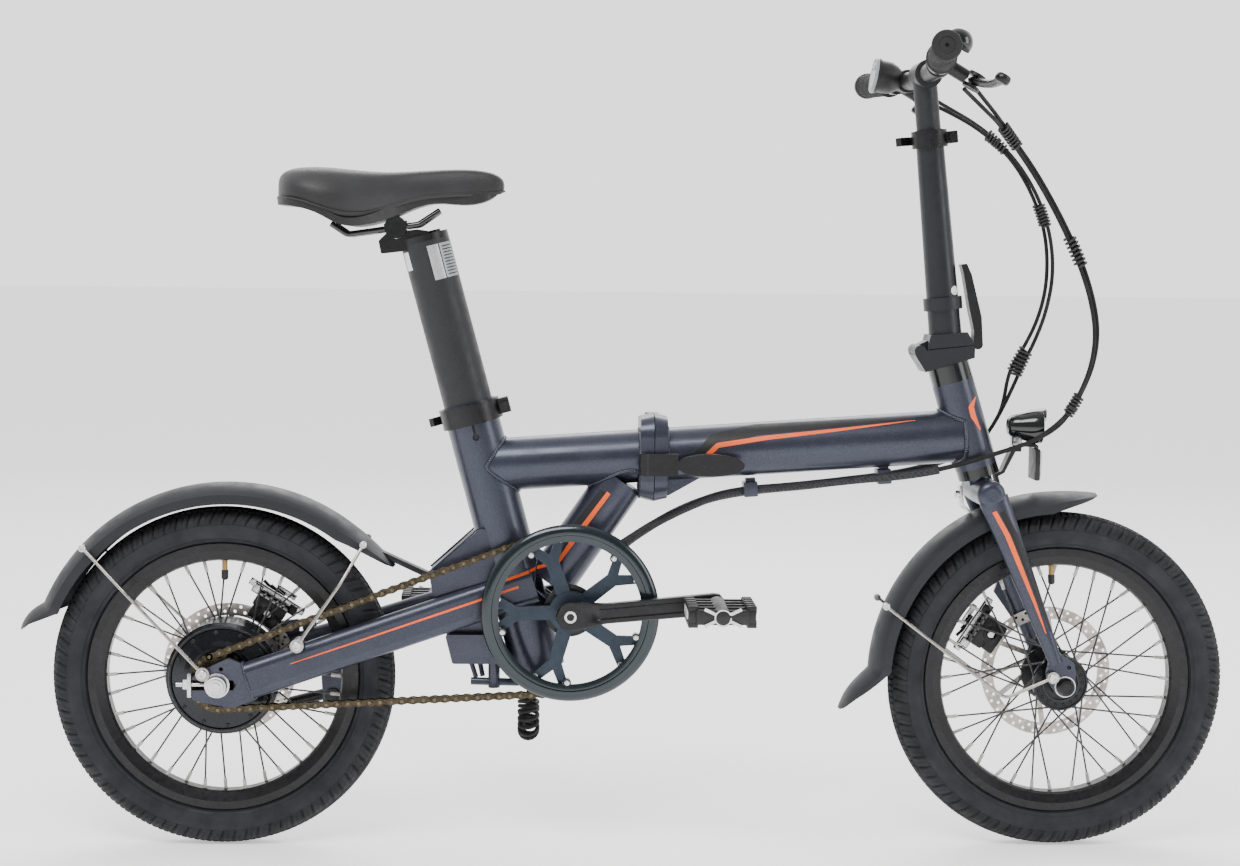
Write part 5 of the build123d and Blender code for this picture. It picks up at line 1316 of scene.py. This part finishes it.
def make_labels():
    """Plain films on the seatpost and a small blank oval on the handlepost."""
    bm = bmesh.new()
    add_patch(bm, on_seat, 29.15, 480, 521, 3, 30, 0)
    add_patch(bm, on_seat, 29.15, 480, 521, 33, 78, 1)
    for k in range(10):
        add_patch(bm, on_seat, 29.3, 483 + 3.7 * k, 484.3 + 3.7 * k, 38, 74, 2)
    add_patch(bm, on_seat, 29.15, 498, 520, -72, -48, 3)
    build("seatpost_labels", bm, ["silver_label", "light_grey", "black_plastic", "white_plastic"],
          "seatpost")
    bm = bmesh.new()
    hub = None
    ring = []
    for k in range(25):
        turn = tau * k / 24
        reach = 0 if k == 24 else 1
        a = radians(44 + 19 * cos(turn) * reach)
        place = on_stem(48 + 5.6 * sin(turn) * reach, 19.0 * sin(a), -19.0 * cos(a))
        if reach:
            ring.append(bm.verts.new(place))
        else:
            hub = bm.verts.new(place + Vector((0.0002, -0.0002, 0)))
    for k in range(24):
        bm.faces.new((hub, ring[k], ring[(k + 1) % 24]))
    build("post_sticker", bm, "white_plastic", "handlepost")


# ---------------------------------------------------------------- cockpit
def make_grips():
    """Ribbed rubber grips with a flange at the inner end and a ring at the outer end."""
    for side, name in ((-1, "right_grip"), (1, "left_grip")):
        inner, outer = on_bar(side * 175), on_bar(side * 280)
        axis = (outer - inner)
        length = axis.length / MM
        profile = [(0, 11.3), (0, 17.2), (2.2, 17.6), (3.6, 16.4), (4.6, 15.2)]
        at = 6.0
        while at < length - 12:
            profile += [(at, 15.2), (at + 0.5, 15.75), (at + 1.7, 15.75), (at + 2.2, 15.2)]
            at += 2.9
        profile += [(length - 9, 15.2), (length - 8, 16.6), (length - 2.2, 16.6), (length - 0.6, 15.4),
                    (length - 0.4, 9.4), (length - 1.4, 9.0), (length - 1.4, 2.2), (length - 3.4,
                                                                                    2.0), (length - 3.4, 0)]
        bm = bmesh.new()
        add_lathe(bm, inner, axis, profile, 56, closed=False)
        grip = build(name, bm, "grip_rubber", "handlebar", 40)
        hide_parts("grips")


def make_bell():
    """A domed bell on a clamp, with a thumb lever."""
    at = on_bar(-118)
    up = Vector((0.66, 0, 0.75)).normalized()
    bm = bmesh.new()
    bar = (on_bar(-125) - on_bar(-111)).normalized()
    add_lathe(bm, on_bar(-111), bar, [(0, 11.3), (0, 14.2), (1, 14.6), (13, 14.6), (14, 14.2),
                                      (14, 11.3)], 40)
    add_lathe(bm, at + up * 11 * MM, up, [(0, 0), (0, 6), (19, 5.4), (19, 0)], 24, closed=False)
    dome = at + mm(22, 0, 26)
    arc = [(16.2 * sin(radians(a)), 16.8 * cos(radians(a))) for a in range(0, 90, 8)]
    add_lathe(bm, dome, up, [(0, 0), (-1.2, 15.8), (-1.4, 17.0), (0, 17.2)] + arc + [(16.2, 0)], 48, 1,
              closed=False)
    add_box(bm, dome + mm(2, -12, -5), (5, 20, 4), (0.3, -1, 0), up, bevel=1.2)
    bell = build("bell_dome", bm, ["black_plastic", "gloss_black"], "handlebar")
    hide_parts("bell")


def make_display():
    """A round display that faces the rider, with a pale rim, a dark window and three buttons."""
    at = on_bar(104)
    back = Vector((-0.985, 0, 0.17)).normalized()
    up = Vector((0, 1, 0)).cross(back) * -1
    bm = bmesh.new()
    bar = (on_bar(111) - on_bar(97)).normalized()
    add_lathe(bm, on_bar(97), bar, [(0, 11.3), (0, 14), (1, 14.4), (13, 14.4), (14, 14), (14, 11.3)], 40)
    add_lathe(bm, at, back, [(8, 0), (8, 11), (14, 16), (22, 19.6), (36, 20), (36, 0)], 48, closed=False)
    add_lathe(bm, at, back, [(36, 0), (36, 21.6), (40, 21.8), (41.6, 20), (41.6, 0)], 56, closed=False)
    add_lathe(bm, at, back, [(39.2, 21), (39.2, 22), (41.6, 22), (43, 20.6), (43, 18.4), (42, 18),
                             (40, 18)], 56, 1)
    add_lathe(bm, at, back, [(41.9, 0), (41.9, 17), (42.7, 16.6), (42.7, 0)], 48, 2, closed=False)
    for k in (-1, 0, 1):
        add_lathe(bm, at + (up * -9 + Vector((0, k * 9, 0))) * MM, back,
                  [(42.6, 0), (42.6, 3), (43.6, 2.6), (43.6, 0)], 20, 1, closed=False)
    display = build("display_unit", bm, ["black_plastic", "light_grey", "gloss_black"], "handlebar")
    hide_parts("display")


def make_lever_blade(name, side):
    """A curved two-finger brake lever with a ball end."""
    pivot = joint_place(name)
    up = Vector((0.5, 0, 0.87)).normalized()
    ahead = Vector((0.87, 0, -0.5)).normalized()
    rows = [(-6, -3, 6), (4, 1, 8), (16, 6.5, 6.8), (32, 10.5, 5.8), (52, 12.6, 5.4), (74, 12.8, 5.4),
            (92, 11.8, 5.6), (101, 11.2, 5.8)]
    bm = bmesh.new()
    rings = []
    for out, forward, half in rows:
        centre = pivot + (Vector((0, side * out, 0)) + ahead * forward) * MM
        ring = []
        for k in range(12):
            turn = tau * k / 12
            ring.append(bm.verts.new(centre + (ahead * half * cos(turn) + up * 4.6 * sin(turn)) * MM))
        rings.append(ring)
    grid_faces(bm, rings)
    bm.faces.new(list(reversed(rings[0])))
    bm.faces.new(rings[-1])
    ball = pivot + (Vector((0, side * 106, 0)) + ahead * 11) * MM
    arc = [(8.8 * -cos(radians(a)), 8.8 * sin(radians(a))) for a in range(0, 181, 15)]
    add_lathe(bm, ball, up, [(max(min(h, 5.0), -5.0), r) for h, r in arc], 32, closed=False)
    lever = build(name + "_blade", bm, "black_metal", name, 50,
                  [("SUBSURF", {"levels": 1, "render_levels": 1})])
    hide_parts(name)


def make_headlamp():
    """A hooded lamp with a bright bowl and a clear lens, and the white reflector hung below it."""
    back = mm(455.5, 0, 509)
    bm = bmesh.new()
    shell = [(0, 0), (0, 9), (3, 12.5), (14, 15.5), (26, 19), (33, 20.6), (40, 21), (40, 19.4), (33, 19),
             (33, 0)]
    add_lathe(bm, back, (1, 0, 0), shell, 56, closed=False)
    add_lathe(bm, back, (1, 0, 0), [(33.2, 19), (34, 17), (35.6, 8), (33.4, 3), (33.4, 0)], 48, 1,
              closed=False)
    add_lathe(bm, back, (1, 0, 0), [(37.2, 0), (38.6, 10), (38.2, 19.2), (37, 19.2), (36.6, 0)], 48, 2,
              closed=False)
    hood = []
    for k in range(15):
        turn = radians(20 + 10 * k)
        rim = back + (Vector((40, 21.2 * cos(turn), 21.2 * sin(turn)))) * MM
        lip = back + (Vector((40 + 5.0 * sin(turn), 21.6 * cos(turn), 21.6 * sin(turn) + 1.0))) * MM
        hood.append((bm.verts.new(rim), bm.verts.new(lip)))
    for a, b in zip(hood, hood[1:]):
        bm.faces.new((a[0], b[0], b[1], a[1]))
    add_box(bm, mm(466, 0, 491.5), (12, 13, 12), bevel=1.6)
    add_lathe(bm, mm(466, -9, 489), (0, 1, 0), [(0, 0), (0, 4.2), (18, 4.2), (18, 0)], 20, 3, closed=False)
    add_plate(bm, [(470, 485), (470, 489), (488, 489), (492, 486), (492, 482), (487, 482), (486, 485)], -8,
              8, 0.6)
    add_box(bm, mm(489, 0, 464), (6, 40, 38), bevel=1.8, material=5)
    add_box(bm, mm(493, 0, 464), (2.2, 35, 33), bevel=0.8, material=4)
    lamp = build("headlamp_unit", bm, ["gloss_black", "chrome", "lens", "bright_metal", "white_plastic",
                                       "black_plastic"], "headlamp")
    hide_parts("headlamp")


# ---------------------------------------------------------------- put it together
def assign(material, *names):
    for name in names:
        mesh = NODES[name].data
        mesh.materials.clear()
        mesh.materials.append(PAINT[material])
        mesh.polygons.foreach_set("use_smooth", [True] * len(mesh.polygons))
        mesh.set_sharp_from_angle(angle=radians(32))


def lens_material():
    n = Nodes("lamp_lens", 0.08, coat=0.3)
    n.shader.inputs["Transmission Weight"].default_value = 0.85
    n.shader.inputs["IOR"].default_value = 1.45
    n.colour(n.blend(n.spread(n.noise(120), 0, 1), (0.80, 0.82, 0.84), (0.95, 0.96, 0.97)))
    n.normal(n.bump(n.cells(260), 0.2, 0.0004))
    return n.material


set_camera()
set_stage()
PAINT = make_materials()
PAINT["lens"] = lens_material()
PAINT["chrome"] = finish_paint("lamp_bowl", (0.85, 0.85, 0.86), 0.12, 1.0, 0.0, 0.05, 60, 0.3, 300, 0.04)

assign("frame_paint", "rear_frame", "front_frame", "fork")
assign("post_metal", "seatpost_tube", "handlebar")
assign("handlepost_paint", "handlepost", "stem_base")
assign("black_metal", "bottom_bracket", "rear_caliper", "front_caliper", "seat_clamp", "kickstand_leg",
       "seat_clamp_lever", "seatpost_head", "rear_rim", "front_rim", "frame_latch_lever", "lamp_bracket",
       "front_hub", "post_clamp", "post_clamp_lever", "post_latch_lever", "brake_lever_brackets",
       "right_brake_lever", "left_brake_lever", "crank_arms")
assign("headset_black", "headset")
for rounded in ("stem_base", "handlepost", "lamp_bracket", "seat_clamp", "post_clamp"):
    edge = NODES[rounded].modifiers.new("rounded_edges", "BEVEL")
    edge.width = 0.9 * MM
    edge.segments = 2
    edge.limit_method = "ANGLE"
    edge.angle_limit = radians(40)
    edge.harden_normals = True
assign("motor_black", "motor_shell")
assign("frame_paint", "controller")
assign("black_plastic", "battery_plug", "saddle_base", "right_pedal", "left_pedal", "display")
assign("fender_plastic", "rear_fender", "front_fender")
assign("stainless", "rear_fender_stays", "front_fender_stays")
assign("rotor_steel", "rear_rotor", "front_rotor")
assign("bright_metal", "motor_axle")
assign("black_metal", "front_axle")
assign("gloss_black", "saddle_rails")
assign("spider_metal", "chainring")
assign("guard_gloss", "chain_guard")
assign("chain_steel", "chain", "freewheel")
assign("cell_wrap", "battery_cells")
assign("rear_spokes", "rear_spokes")
assign("front_spokes", "front_spokes")
assign("gloss_black", "bell", "headlamp")

make_tyre("rear", REAR_X, "rear_wheel")
make_tyre("front", FRONT_X, "front_wheel")
make_valve("rear", REAR_X, radians(90), "rear_wheel")
make_valve("front", FRONT_X, radians(93), "front_wheel")
make_motor_details()
make_axle_nuts()
make_hub_details()
make_chain()
make_chainring_bolts()
make_guard()
make_cranks()
make_pedal("right_pedal", -1)
make_pedal("left_pedal", 1)
make_saddle()
make_cables()
make_battery_lead()
make_stripes()
make_welds()
make_chainstay_details()
make_grips()
make_bell()
make_display()
make_lever_blade("right_brake_lever", -1)
make_lever_blade("left_brake_lever", 1)
make_headlamp()
make_fender("rear_fender", "rear_frame", (REAR_X + 6.5, WHEEL_Z - 6.5), 239, 35.6, 157, (-721, 259))
make_fender("front_fender", "fork", (FRONT_X, WHEEL_Z), 228, 79, 177, (257, 166))
make_caliper("rear_caliper", "rear_frame", -434, 41.5, 274, -32)
make_caliper("front_caliper", "fork", 446, 45, 250, 57)
make_labels()
